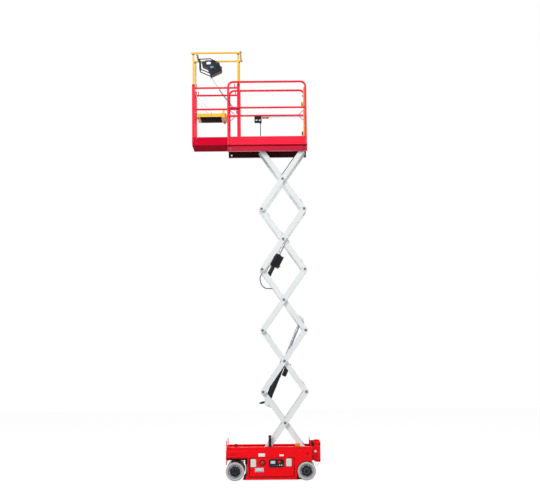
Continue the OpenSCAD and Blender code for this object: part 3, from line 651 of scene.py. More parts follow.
def dressEnds(front, bumpers, bumperSize, middle):
    rubber, fixings, plate = blanks(3)
    wide, deep, tall = bumperSize
    for y in bumpers:
        slab(rubber, (front - deep, y - wide, middle - tall / 2), (front, y + wide, middle + tall / 2), 4)
        boltGrid(fixings, (front - deep,), (y,), (middle - 38, middle + 38), (-1, 0, 0), 6)
    boltGrid(fixings, (front,), (-330, -120, 120, 330), (552, 408), (-1, 0, 0), 6)
    slab(plate, (front - 2, -70, 430), (front + 1, 70, 520), 0.6)
    dress(rubber, "frontBumpers", "chassis", soot)
    dress(fixings, "frontFixings", "chassis", zinc)
    dress(plate, "frontPlate", "chassis", plateWhite)


dressEnds(**endSet)

archSet = {"reach": (161, 171.5), "rear": (298, 368), "shadeStripX": (-748, -402), "shadeStripZ": (352, 376),
           "shadeStripY": (362, 377), "shadeWallX": (-438, -402), "shadeWallLow": 280, "shadeWallIn": 252,
           "tab": ((-766, 322, 273), (-750, 372, 404)), "start": (60, -25), "sweep": 145, "sillY": (350, 356),
           "sill": [[(-427, 12), (-455, 12), (-427, 52)], [(440, 12), (470, 12), (440, 48)]],
           "shadowWedge": [[(-428, 13), (-482, 13), (-472, 38), (-446, 78), (-424, 94), (-406, 94), (-406, 80), (-428, 80)],
                     [(444, 13), (532, 13), (478, 48), (460, 76), (444, 76)]],
           "shadowWedgeY": (220, 282), "strut": ((-434, 254, 86), (-408, 264, 300))}


# painted shade in black round the wheels: rings in the rear arches, strips and walls over the front wheels, and painted
# shadow wedges on the ground at the guard ends; red sill tips there too

def dressArches(reach, rear, shadeStripX, shadeStripZ, shadeStripY, shadeWallX, shadeWallLow, shadeWallIn, tab, start, sweep, sillY, sill, shadowWedge,
                shadowWedgeY, strut):
    archShades, tabs, struts = blanks(3)
    for side, s in sides:
        tips = bmesh.new()
        for outline in sill:
            prism(tips, outline, *(s * y for y in sillY))
        # painted shadow: black wedges on the ground beside the wheels, at the guard ends
        for outline in shadowWedge:
            prism(archShades, outline, *(s * y for y in shadowWedgeY))
        dress(tips, f"{side}SillTips", f"{side}_guard", red)
        for shape, ends in ((struts, strut), (tabs, tab)):
            slab(shape, *((x, s * y, z) for x, y, z in ends), 2)
        place = aside(s, wheelSet["x"], 0, wheelSet["z"])
        aim = start[0] if place[0][0] > 0 else start[1]
        # painted shade: a black ring in the gap of the rear wheel arch
        arch(archShades, reach, rear, -aim - sweep if place[2][1] < 0 else aim, sweep, place)
        # painted shade: a black strip and wall over the front wheel, where the chassis underside is shaded
        slab(archShades, (shadeStripX[0], s * shadeStripY[0], shadeStripZ[0]), (shadeStripX[1], s * shadeStripY[1], shadeStripZ[1]), 3)
        slab(archShades, (shadeWallX[0], s * shadeWallIn, shadeWallLow), (shadeWallX[1], s * shadeStripY[1], shadeStripZ[1] - 2), 8)
    dress(archShades, "wheelArchShades", "chassis", dullBlack)
    dress(tabs, "frontTabs", "chassis", red)
    dress(struts, "guardStruts", "chassis", paleGrey)


dressArches(**archSet)
print("chassis band dressed")


# side trays: stop cup, blank plates in frames, inlet cover, a dark red hem of painted shadow, and latches

traySet = {"half": 372, "stop": (-141, 306), "plateSpots": [((-350, -246), (228, 372)), ((256, 360), (236, 378))],
           "inlet": ((-268, -122), (144, 218)), "front": -359, "rear": 378, "hemZ": 74}


def dressTray(side, s, half, stop, plateSpots, inlet, front, rear, hemZ):
    body, face = f"{side}_tray", s * half
    cup, button, rims, cover, hem, edge = blanks(6)
    slab(edge, (374, s * 370, 80), (395, s * 377, 385), 1.5)
    spot = aside(s, stop[0], face + s * 4, stop[1])
    turned(cup, [(28, 0), (30, 3), (36, 4.6), (48, 6), (52, 4), (53, 0)], spot, 48)
    turned(button, [(0, 8), (14, 7.6), (22, 6), (26, 3), (27, 0)], spot, 40)
    for (x0, x1), (z0, z1) in plateSpots:
        frameOf(rims, (x0 - 2, x1 + 2), (z0 - 2, z1 + 2), face + s * 2.5, 7, s * 2)
        for x, z in itertools.product((x0 + 9, x1 - 9), (z0 + 9, z1 - 9)):
            turned(rims, [(0, 2), (2.6, 1.9), (3.6, 1), (4, 0)], aside(s, x, face + s * 2.8, z), 16)
    (x0, x1), (z0, z1) = inlet
    slab(cover, (x0 + 6, face + s * 3.5, z0 + 14), (x1 - 6, face + s * 7.5, z1 - 8), 2)
    rod(cover, (x0 + 10, face + s * 6, z1 - 5), (x1 - 10, face + s * 6, z1 - 5), 3.5, 1, 16)
    slab(cover, (x0 + 58, face + s * 7, z0 + 18), (x1 - 58, face + s * 9, z0 + 24), 1)
    # painted shadow: dark red bands along the tray's foot and under the inlet cover; the latches share the colour
    slab(hem, (front, face - s * 2, hemZ - 6), (rear, face + s * 4, hemZ + 5), 2)
    slab(hem, (x0 + 4, face + s * 3.5, z0 + 2), (x1 - 4, face + s * 5, z0 + 11), 0.6)
    for z in (130, 340):  # turn latches on the free edge
        turned(hem, [(0, 5), (9, 5), (10, 4), (13, 1.5), (14, 0)], aside(s, front + 22, face, z + 46), 28)
        slab(hem, (front + 10, face + s * 4, z + 44), (front + 34, face + s * 6, z + 48), 0.8)
    dress(cup, f"{side}StopCup", body, maroon)
    dress(button, f"{side}StopButton", body, signalRed)
    dress(rims, f"{side}PlateRims", body, slate)
    dress(cover, f"{side}InletCover", body, screenGlass)
    dress(hem, f"{side}TrayHemShade", body, hemShadeRed)
    dress(edge, f"{side}TrayEdge", body, red)


for side, s in sides:
    dressTray(side, s, **traySet)

panelSet = {"spanX": (-32, 222), "spanZ": (224, 366), "face": -378, "display": ((-3, 78), (284, 335)),
            "stop": (144, 315), "blue": (-8, 22, 82), "orange": (52, 112), "lightZ": 253}


def dressPanel(spanX, spanZ, face, display, stop, blue, orange, lightZ):
    rim, screen, knob, keys = blanks(4)
    frameOf(rim, spanX, spanZ, face, 9, -3)
    (x0, x1), (z0, z1) = display
    frameOf(rim, (x0 - 6, x1 + 6), (z0 - 6, z1 + 6), face, 7, -2.4)
    slab(screen, (x0, face - 1.4, z0), (x1, face + 1, z1), 0.6)
    spot = aside(-1, stop[0], face, stop[1])
    turned(knob, [(0, 7), (10, 6.8), (18, 5.2), (22, 3), (20, 1.5), (15, 0)], spot, 36)
    turned(rim, [(16, 0), (17, 1.4), (27, 1.4), (28, 0)], spot, 36)
    for name, spots, finish in (("blueLights", blue, ledBlue), ("amberLights", orange, amber)):
        dots = bmesh.new()
        for x in spots:
            turned(dots, [(0, 2.4), (3, 2), (5, 0.8), (5.4, 0)], aside(-1, x, face, lightZ), 20)
        dress(dots, name, "near_tray", finish)
    for x in (150, 186):  # key switch and rocker
        turned(keys, [(0, 3), (7, 3), (8, 1.8), (11, 1.8), (12, 0)], aside(-1, x, face, 262), 28)
    slab(keys, (184, face - 4.5, 252), (188, face - 1, 272), 0.8)
    across, upward = ((low + 5, high - 5) for low, high in (spanX, spanZ))
    boltGrid(keys, across, (face - 2.6,), upward, (0, -1, 0), 3)
    dress(rim, "panelRim", "near_tray", soot)
    dress(screen, "panelScreen", "near_tray", screenGlass)
    dress(knob, "panelStop", "near_tray", signalRed)
    dress(keys, "panelKeys", "near_tray", steel)
    lip = bmesh.new()
    slab(lip, (spanX[0] - 10, -371, spanZ[0] - 22), (spanX[1] + 10, -381, spanZ[0] - 10), 3)
    dress(lip, "panelLip", "near_tray", red)


dressPanel(**panelSet)
print("side trays dressed")


# entry ladder, sensor post, beacon and knob

ladderSet = {"half": 226, "steps": (330, 600), "knob": (843, 604), "disc": (768, 480)}


def dressLadder(half, steps, knob, disc):
    grips, bumpers, edges, discs = blanks(4)
    for z in steps:
        for x in (804, 818, 832, 846):
            slab(grips, (x - 4, -206, z + 11), (x + 4, 206, z + 14.5), 1.2)
    for side, s in sides:
        slab(edges, (848, s * (half - 10), 306), (856, s * (half - 34), 644), 2)
        spot = aside(s, disc[0], s * half, disc[1])
        turned(edges, [(23, 0), (24, 3), (28, 3), (29, 0)], spot, 32)
        turned(discs, [(0, 2.6), (18, 2.2), (24, 0.6)], spot, 32)
        slab(bumpers, (680, s * 252, 574), (748, s * 229, 640), 7)
        slab(bumpers, (700, s * 250, 324), (732, s * 229, 398), 5)
        turned(bumpers, [(0, 24), (12, 24), (16, 20), (16, 12), (8, 8), (8, 0)],
               aside(s, knob[0], s * half, knob[1]), 28)
        boltGrid(bumpers, (808, 838), (s * half,), steps, (0, s, 0), 6)
    dress(grips, "ladderGrips", "chassis", soot)
    dress(edges, "ladderEdges", "chassis", red)
    dress(discs, "ladderDiscs", "chassis", labelWhite)
    dress(bumpers, "ladderBumpers", "chassis", soot)
    rear = bmesh.new()
    boltGrid(rear, (706,), (-340, -290, 290, 340), (360, 540), (1, 0, 0), 6)
    dress(rear, "rearFixings", "chassis", zinc)


dressLadder(**ladderSet)
strapLine = [(752, -231, 316), (762, -232, 268), (782, -234, 240), (808, -234, 248), (826, -232, 290), (830, -231, 330)]
hose("staticStrap", smoothLine(strapLine, 5), 3, "chassis")

postSet = {"spanX": (-34, 12), "spanY": (-368, -330), "spanZ": (570, 760), "eyeZ": 718}


def dressPost(spanX, spanY, spanZ, eyeZ):
    trim, eye = blanks(2)
    slab(trim, (spanX[0] - 4, spanY[0] - 4, spanZ[1] - 12), (spanX[1] + 4, spanY[1] + 4, spanZ[1] + 5), 4)
    slab(trim, (spanX[0] - 12, spanY[0] - 6, spanZ[0]), (spanX[1] + 12, spanY[1] + 14, spanZ[0] + 7), 2)
    for z in (612, 634, 656, 678):
        slab(trim, (spanX[0] - 1.5, spanY[0] - 2, z), (spanX[1] + 1.5, spanY[1] + 2, z + 8), 1)
    turned(trim, [(9, 0), (10, 3), (14, 3), (15, 0)], aside(-1, -11, spanY[0], eyeZ), 28)
    turned(eye, [(0, 5), (5, 4.2), (8, 2), (9, 0)], aside(-1, -11, spanY[0], eyeZ), 28)
    dress(trim, "sensorTrim", "chassis", soot)
    dress(eye, "sensorEye", "chassis", signalRed)


dressPost(**postSet)

beaconSet = {"midX": 457, "midY": -342, "base": 570, "ribHeights": (14, 22, 30, 38, 46)}


def dressBeacon(midX, midY, base, ribHeights):
    foot, ribs = blanks(2)
    for x in (midX - 12, midX + 12):
        turned(foot, [(0, 5), (38, 5), (40, 3), (40, 0)], onTop(x, midY, base), 48)
        for z in ribHeights:
            reach = 33 - z * 4 / 54  # the lens tapers
            turned(ribs, [(reach - 1, z - 2), (reach + 1.4, z), (reach - 1, z + 2)], onTop(x, midY, base), 48)
    slab(foot, (midX - 12, midY - 40, base), (midX + 12, midY + 40, base + 5), 1)
    for side, s in sides:
        for z in ribHeights:
            reach = 33 - z * 4 / 54 - 3.6
            rod(ribs, (midX - 12, midY + s * reach, base + z), (midX + 12, midY + s * reach, base + z), 1.6, 0, 10)
    dress(foot, "beaconFoot", "chassis", soot)
    dress(ribs, "beaconRibs", "chassis", amber)


dressBeacon(**beaconSet)
shape = bmesh.new()
turned(shape, [(9.5, 0), (10, 4), (17, 4), (20, 0)], onTop(-592, -346, 570))
turned(shape, [(12, 0), (13, 2.4), (17, 2.4), (18, 0)], onTop(-592, -346, 622))
dress(shape, "knobCollar", "chassis", soot)
print("ladder, post and beacon dressed")


# scissor stack: pin ends, bush rings, stop pads and the conduit up the inner arms

armSet = {"pinFace": 296, "outerFace": 290, "innerFace": 190, "conduit": 6, "conduitY": -181, "conduitDrop": 37,
          "loop": [(1256, -181, 14), (1240, -178, 52), (1216, -172, 93), (1177, -166, 128), (1104, -162, 156),
                   (1034, -162, 155), (984, -166, 124), (948, -174, 80), (922, -181, 38)],
          "topCable": (700, 1165), "topY": -266, "topUp": 51, "runs": {4: [(300, 1200)], 5: [(95, 500), (905, 1200)]},
          "flareY": (189.5, 180),
          "flare": [(236, -40), (236, -43), (170, -47), (120, -55), (94, -62), (76, -67), (64, -64), (54, -40)]}


def dressArms(k, a):
    place, ends = innerPlace(k), bmesh.new()
    spots = [stack["arm"] / 2] + ([0] if k > 1 else []) + ([stack["arm"]] if k < 5 else [])
    for side, s in sides:
        for along in spots:
            turned(ends, [(0, 3.6), (6, 3.6), (7, 2.8), (7, 1.6), (17, 1.6), (21, 1.2), (23, 0)],
                   aside(s, along, s * a["pinFace"], 0, place), 28)
    dress(ends, f"pinEnds{k}", f"inner_{k}", darkSteel)
    pads = bmesh.new()
    for side, s in sides:
        for along in (150, stack["arm"] - 150):
            slab(pads, (along - 35, s * 226, -49), (along + 35, s * 199, -43), 2, place)
    dress(pads, f"innerPads{k}", f"inner_{k}", soot)
    pipe = bmesh.new()
    y, drop = a["conduitY"], a["conduitDrop"]
    for start, stop in a["runs"].get(k, [(95, stack["arm"] - 95)]):  # broken where brackets fold in from below
        rod(pipe, (start, y, drop), (stop, y, drop), a["conduit"], 3, 16, place=place)
        for n in range(3):
            along = start + 35 + (stop - start - 70) * n / 2
            slab(pipe, (along - 8, -a["innerFace"], drop - 9), (along + 8, y + 8, drop + 7), 2, place)
    dress(pipe, f"conduit{k}", f"inner_{k}", cordBlack)
    bushes, place = bmesh.new(), outerPlace(k)
    for side, s in sides:
        for along in (0, stack["arm"] / 2, stack["arm"]):
            if k == 1 and not along or k == 5 and along == stack["arm"]:
                continue
            spot = aside(s, along, s * a["outerFace"], 0, place)
            turned(bushes, [(29.5, 0), (30, 1.6), (36, 1.6), (38, 0)], spot)
    dress(bushes, f"bushRings{k}", f"outer_{k}", white)


for k in range(1, 6):
    dressArms(k, armSet)

hose("stackLoop", smoothLine(armSet["loop"], 4), 8, "inner_3", innerPlace(3))
shape = bmesh.new()  # cable clipped along the top arm
(low, high), y, up = armSet["topCable"], armSet["topY"], armSet["topUp"]
rod(shape, (low, y, up), (high, y, up), 7.5, 3, 16, place=outerPlace(5))
for along in (low + 40, (low + high) / 2, high - 40):
    slab(shape, (along - 8, y - 9, 42), (along + 8, y + 9, up + 8), 2, outerPlace(5))
dress(shape, "topArmCable", "outer_5", cordBlack)
shape = bmesh.new()  # flared webs beside the upper actuator's head
for side, s in sides:
    outline = [(stack["arm"] / 2 + along, up) for along, up in armSet["flare"]]
    prism(shape, outline, *(s * y for y in armSet["flareY"]), innerPlace(4))
dress(shape, "headFlares", "inner_4", white)
print("scissor stack dressed")


# actuators: end rings, cover bolts, motor cap and fittings

lowSet = {"foot": (-57.15, 1294.07), "angle": 67.129, "tube": 826, "length": 1587,
          "line": [(-60, -64, -60), (-66, -92, -58), (-96, -112, -50), (-150, -110, -36), (-220, -88, -16),
                   (-300, -64, 2), (-400, -56, 10), (-520, -54, 10), (-640, -54, 10), (-700, -50, 10)]}
upSet = {"foot": (-27.61, 3487.59), "angle": 63.036, "tube": 462, "length": 737.1,
         "line": [(4, -36, 30), (-22, -40, 52), (-52, -44, 66), (-92, -46, 70), (-130, -44, 60), (-156, -36, 42)]}


def dressLow(foot, angle, tube, length, line):
    place, trim, bright = actuatorPlace(foot, angle), bmesh.new(), bmesh.new()
    spot = facing((0, 0, 0), (1, 0, 0), place)
    turned(bright, [(24.6, tube + 4), (27, tube + 12), (40, tube + 12), (44, tube + 8), (44, tube + 4)], spot, 40)
    for along in (150, 330, 520):
        turned(trim, [(42, along - 12), (45.5, along - 11), (45.5, along + 11), (42, along + 12)], spot, 40)
        slab(trim, (along - 12, -7, 40), (along + 12, 7, 52), 2, place)
    spot = facing((tube - 266, 0, -90), (-1, 0, 0), place)
    turned(trim, [(0, 12), (18, 12), (30, 9), (38, 4), (40, 0)], spot, 40)
    boltGrid(bright, (tube - 118, tube - 44), (-32, 32), (-128,), (0, 0, -1), 6, place)
    for side, s in sides:
        boltGrid(trim, (tube - 114, tube - 48), (s * 40,), (-116, -14), (0, s, 0), 5, place)
        turned(trim, [(0, 9), (14, 9), (18, 6), (20, 0)], aside(s, 0, s * 30, 0, place), 32)
    rod(trim, (-44, -78, 1330), (-160, -78, 1306), 19, 4)
    rod(trim, (-158, -78, 1306), (-186, -78, 1300), 15, 4)
    slab(trim, (-60, -80, 1304), (-28, -28, 1352), 4)
    dress(trim, "lowTrim", "low_barrel", soot)
    dress(bright, "lowCollar", "low_barrel", darkSteel)
    fit = bmesh.new()
    spot = aside(-1, tube - 60, -40, -60, place)
    rod(fit, (0, 0, 0), (0, 0, 10), 11, 1, 6, place=spot)
    rod(fit, (0, 0, 10), (0, 0, 24), 7, 1, 16, place=spot)
    rod(fit, (96, 0, 68), (96, 0, 84), 8, 1, 6, place=place)
    dress(fit, "lowFittings", "low_barrel", brass)
    pins = bmesh.new()
    for side, s in sides:
        turned(pins, [(0, 4), (16, 4), (20, 2), (22, 0)], aside(s, length, s * 31, 0, place), 32)
    dress(pins, "lowEyeCaps", "low_rod", darkSteel)
    line = smoothLine([(tube + x, y, z) for x, y, z in line], 3)
    hose("lowHose", line, 5, "low_barrel", place)


def dressUp(foot, angle, tube, length, line):
    place, trim, bright = actuatorPlace(foot, angle), bmesh.new(), bmesh.new()
    x0, x1 = tube - 234, tube - 12
    for side, s in sides:
        slab(trim, (x0 + 14, s * 69, -86), (x1 - 14, s * 74, 46), 3, place)
        for n in range(5):
            along = x0 + 40 + n * 35
            slab(trim, (along - 4, s * 73, -70), (along + 4, s * 77, 30), 1.5, place)
        boltGrid(bright, (x0 + 22, x1 - 22), (s * 74,), (-78, 38), (0, s, 0), 4, place)
        turned(trim, [(0, 8), (13, 8), (17, 5), (19, 0)], aside(s, 0, s * 30, 0, place), 32)
    slab(trim, (x0 + 8, -62, 57), (x1 - 8, 62, 64), 3, place)
    spot = facing((0, 0, 0), (1, 0, 0), place)
    turned(trim, [(37, 60), (41, 64), (41, 78), (37, 82)], spot, 40)
    turned(bright, [(20.6, tube), (23, tube + 8), (32, tube + 8), (35, tube + 4), (35, tube)], spot, 40)
    rod(bright, (x0 + 46, -30, -98), (x0 + 46, -30, -118), 10, 2, 16, place=place)
    dress(trim, "upTrim", "up_barrel", soot)
    dress(bright, "upCollar", "up_barrel", darkSteel)
    pins = bmesh.new()
    for side, s in sides:
        turned(pins, [(0, 4), (14, 4), (18, 2), (20, 0)], aside(s, length, s * 31, 0, place), 32)
    dress(pins, "upEyeCaps", "up_rod", darkSteel)
    line = smoothLine([(x0 + x, y, z) for x, y, z in line], 5)
    hose("upHose", line, 6, "up_barrel", place)


dressLow(**lowSet)
dressUp(**upSet)
print("actuators dressed")


# main platform: post feet, toe-board bolts, far braces, dark red strips of painted shade along the deck edge, outlet,
# tag and conduit

deckSet = {"floor": 5802.5, "railY": 341, "front": -690, "rear": 669, "midRise": 664, "toe": 150}


def dressPlatform(floor, railY, front, rear, midRise, toe):
    feet, welds, dark, braces, shadeStrips = blanks(5)
    middle = floor + midRise
    for side, s in sides:
        y = s * railY
        for x, lean in ((front, 1), (rear, -1)):
            turned(feet, [(19, 0), (19.5, 16), (21, 20), (22, 14), (25, 8), (26, 0)], onTop(x, y, floor), 32)
            turned(welds, [(17, 0), (20, 2), (22, 8), (17, 14)], facing((x + lean * 14, y, middle), (lean, 0, 0)), 28)
        boltGrid(feet, (-635, -602, -569, 40, 600), (s * (railY + 3),), (floor + 38, floor + 112), (0, s, 0), 6)
        for x, z in ((-655, 5770), (632, 5770), (632, 5716)):
            bolt(dark, (x, s * 360, z), (0, s, 0), 10)
        boltGrid(dark, (-400, -100, 200, 480), (s * 360,), (5780,), (0, s, 0), 5)
        # painted shade: a dark red strip along the deck edge under the toe board
        slab(shadeStrips, (-711, s * 340, floor - 26), (691, s * 361.5, floor + 1.5), 1)
        slab(welds, (front, s * 336, floor + toe - 7), (rear, s * 347, floor + toe + 1), 2.5)
    y = railY
    for x, lean in ((front + 16, 1), (rear - 16, -1)):
        rod(braces, (x, y, middle + 96), (x + lean * 92, y, middle + 8), 6.5, 1, 14)
        rod(braces, (x, y, middle - 96), (x + lean * 92, y, middle - 8), 6.5, 1, 14)
    for x in (-420, -40, 340):  # middle stiffeners of the toe boards
        for side, s in sides:
            slab(welds, (x - 4, s * 338, floor + 1), (x + 4, s * 322, floor + 120), 1.5)
    dress(feet, "postFeet", "platform", crimson)
    dress(welds, "railWelds", "platform", crimson)
    dress(dark, "channelBolts", "platform", soot)
    dress(shadeStrips, "deckShadeStrips", "platform", shadeStripRed)
    dress(braces, "farBraces", "platform", crimson)


dressPlatform(**deckSet)

outletSet = {"spanX": (-238, -108), "spanZ": (6331.5, 6449.5), "face": 325, "tagSpan": ((-97, 21), (6404, 6432))}


def dressOutlet(spanX, spanZ, face, tagSpan):
    lids, dark, tag, plate = blanks(4)
    (x0, x1), (z0, z1) = spanX, spanZ
    frameOf(dark, (x0, x1), (z0, z1), face - 5, 8, 6)
    for x in (x0 + 36, x1 - 36):
        slab(lids, (x - 25, face - 10, z0 + 18), (x + 25, face + 1, z0 + 66), 4)
        rod(lids, (x - 24, face - 8, z0 + 69), (x + 24, face - 8, z0 + 69), 4, 1, 16)
        slab(dark, (x - 6, face - 13, z0 + 20), (x + 6, face - 9, z0 + 27), 1)
        slab(plate, (x - 16, face - 12, z0 + 34), (x + 16, face - 9, z0 + 58), 0.6)
    (x0, x1), (z0, z1) = tagSpan
    slab(tag, (x0, 321, z0), (x1, 324, z1), 1)
    for x in (x0 + 14, x1 - 14):
        slab(dark, (x - 4, 318, z0 - 3), (x + 4, 326, z1 + 20), 1)
    dress(lids, "outletLids", "platform", soot)
    dress(dark, "outletTrim", "platform", soot)
    dress(plate, "outletPlate", "platform", labelWhite)
    dress(tag, "railTag", "platform", tagOrange)
    pipe = bmesh.new()
    rod(pipe, (-106, 330, 6437), (646, 330, 6437), 4.5, 2, 16)
    for x in (40, 190, 340, 490, 630):
        slab(pipe, (x - 7, 322, 6430), (x + 7, 340, 6453), 2)
    rod(pipe, (646, 330, 6437), (656, 322, 6250), 4.5, 2, 16)
    rod(pipe, (656, 322, 6250), (656, 322, 5960), 4.5, 2, 16)
    dress(pipe, "railConduit", "platform", paleGrey)
    gland = bmesh.new()
    for z in (6331, 5966):
        rod(gland, (-130, 341, z), (-130, 341, z - 14), 12, 2, 8)
    dress(gland, "outletGlands", "platform", soot)


dressOutlet(**outletSet)
print("platform dressed")


# swing gate: latch boxes, handle and pads

gateSet = {"x": 669, "free": -216, "pads": (6020, 6545), "latch": 6700, "bars": [(5962, 6420), (6498, 6852)]}


def dressGate(x, free, pads, latch, bars):
    dark, bright, bar = blanks(3)
    for z0, z1 in bars:
        slab(bar, (x - 38, free - 13, z0), (x - 13, free + 13, z1), 5)
    for z in pads:
        slab(bar, (x - 50, free - 16, z - 46), (x - 12, free + 16, z + 46), 7)
        slab(dark, (x - 68, free - 14, z - 34), (x - 46, free + 14, z + 34), 5)
        slab(dark, (x - 16, free - 9, z - 14), (x + 2, free + 9, z + 14), 2)
    slab(bright, (x - 18, free - 20, latch - 26), (x + 18, free + 18, latch + 26), 3)
    rod(bright, (x - 34, free, latch), (x - 16, free, latch), 6, 1)
    rod(dark, (x - 40, free - 6, latch + 4), (x - 40, free + 92, latch + 4), 9, 3)
    for z in (6002, 6342, 6842):
        turned(dark, [(12.5, 0), (14, 3), (17, 3), (18, 0)], facing((x, free + 12, z), (0, 1, 0)), 28)
    dress(dark, "gatePads", "gate", soot)
    dress(bright, "gateLatch", "gate", darkSteel)
    dress(bar, "gateBar", "gate", yellow)


dressGate(**gateSet)


# roll-out deck and upper guard: collars, caps, toe-board bolts and handles

guardSet = {"posts": (-1302, -510), "postY": 292, "top": 6882.5, "rail": 7465.5, "front": -1337, "rear": -451}


def dressGuard(posts, postY, top, rail, front, rear):
    collars, caps, bolts, trim = blanks(4)
    for side, s in sides:
        for x in posts:
            turned(collars, [(17.2, 0), (17.4, 20), (20, 20), (23, 15), (24, 0)], onTop(x, s * postY, top), 32)
            slab(collars, (x - 26, s * 266, top - 3), (x + 26, s * 312, top + 3), 1.5)
            turned(caps, [(17, 0), (18, 5), (20, 8), (20, 17), (17, 20)], onTop(x, s * postY, rail - 38), 32)
        boltGrid(bolts, posts, (s * 311,), (top - 62, 5905), (0, s, 0), 7)
        for x, lean in ((front, -1), (rear, 1)):
            turned(caps, [(0, 6), (11, 5), (16, 2), (17.5, 0)], facing((x, s * postY, rail), (lean, 0, 0)), 32)
        spot = facing((-470, s * 290, rail - 4), (0, 0.25 * s, 1))
        turned(caps, [(15, 0), (19, 2), (19, 22), (14, 27), (0, 28)], spot, 32)
        boltGrid(bolts, (-1250,), (s * 317,), (5846, 5922), (0, s, 0), 5)
        for x in (-1250, -576):
            turned(trim, [(8, 58), (11, 60), (12, 66), (9, 71), (0, 72)], onTop(x, s * postY, 6834.5), 24)
        slab(trim, (-1320, s * 311, 5941), (-492, s * 302, 5952), 2)
    for y in (-180, 0, 180):
        bolt(bolts, (-1327, y, 5900), (-1, 0, 0), 6)
    dress(collars, "postCollars", "roll_out_deck", soot)
    dress(caps, "guardCaps", "roll_out_deck", soot)
    dress(bolts, "deckBolts", "roll_out_deck", darkSteel)
    dress(trim, "deckTrim", "roll_out_deck", crimson)


dressGuard(**guardSet)

stepSet = {"spanX": (-1242, -724), "wide": 262, "low": 6324.5, "top": 6385.5, "panelX": (-1190, -816), "corner": 46}


def dressStep(spanX, wide, low, top, panelX, corner):
    rim, panel, grip, dark = blanks(4)
    x0, x1 = spanX[0] + 5, spanX[1] - 5
    half = wide - 5
    p0, p1 = panelX
    slab(rim, (x0, -half, low + 1), (p0 + 6, half, low + 7), 1.5)
    slab(rim, (p1 - 6, -half, low + 1), (x1, half, low + 7), 1.5)
    middle = Matrix.Translation(((p0 + p1) / 2, 0, low + 7)) @ Matrix.Diagonal((p1 - p0, 2 * half, 14, 1))
    bmesh.ops.create_cube(panel, size=1, matrix=middle)
    upright = [e for e in panel.edges if abs(e.verts[0].co.z - e.verts[1].co.z) > 1]
    soften(panel, upright, corner, 8)
    soften(panel, [e for e in panel.edges if len(e.link_faces) == 2 and e.calc_face_angle() > 1], 2)
    settle(panel, set(), drawing)
    for x in range(p0 + 40, p1 - 20, 60):
        slab(panel, (x - 5, 60 - half, low - 3), (x + 5, half - 60, low + 3), 1.5)
    for x in range(-1215, -740, 26):
        slab(grip, (x - 5, -232, top - 1), (x + 5, 232, top + 2.2), 1)
    for side, s in sides:
        boltGrid(dark, (-1190, -790), (s * wide,), (top - 30,), (0, s, 0), 6)
        rod(dark, (-990, s * (wide - 4), top - 22), (-990, s * (wide + 3), top - 22), 9, 1)
    dress(rim, "stepRim", "step_deck", yellow)
    dress(panel, "stepPanel", "step_deck", dullBlack)
    dress(grip, "stepGrips", "step_deck", soot)
    dress(dark, "stepBolts", "step_deck", darkSteel)


dressStep(**stepSet)

staySet = {"top": (-1280, 256, 6743.5), "foot": (-982, 256, 6388.3), "wire": 3.2}


def hangStays(top, foot, wire):
    stays = bmesh.new()
    (x0, y, z0), (x1, _, z1) = top, foot
    for side, s in sides:
        rod(stays, (x0, s * y, z0), (x1, s * y, z1), wire, 0.5, 12)
        rod(stays, (x0, s * y, z0), (x0 + 26, s * y, z0 - 31), 6, 1.5, 14)
        rod(stays, (x1 - 26, s * y, z1 + 31), (x1, s * y, z1), 6, 1.5, 14)
    piece = dress(stays, "stepStays", "roll_out_deck", steel)
    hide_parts("step_stays")
    tuple(at(x0, 0, z0))
    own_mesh(piece)


hangStays(**staySet)
print("roll-out deck dressed")


# control box: raised face plates, joystick, screen, bumps, stop and foot lip

boxSet = {"origin": (-1217, 0, 7405.5), "half": 110,
          "face": [(72, -66), (140, -46), (298, -70), (360, -96), (400, -184), (392, -196), (230, -274),
                   (214, -266), (160, -146), (72, -104)],
          "bumps": [(247, -196, 30), (330, -138, 28)]}


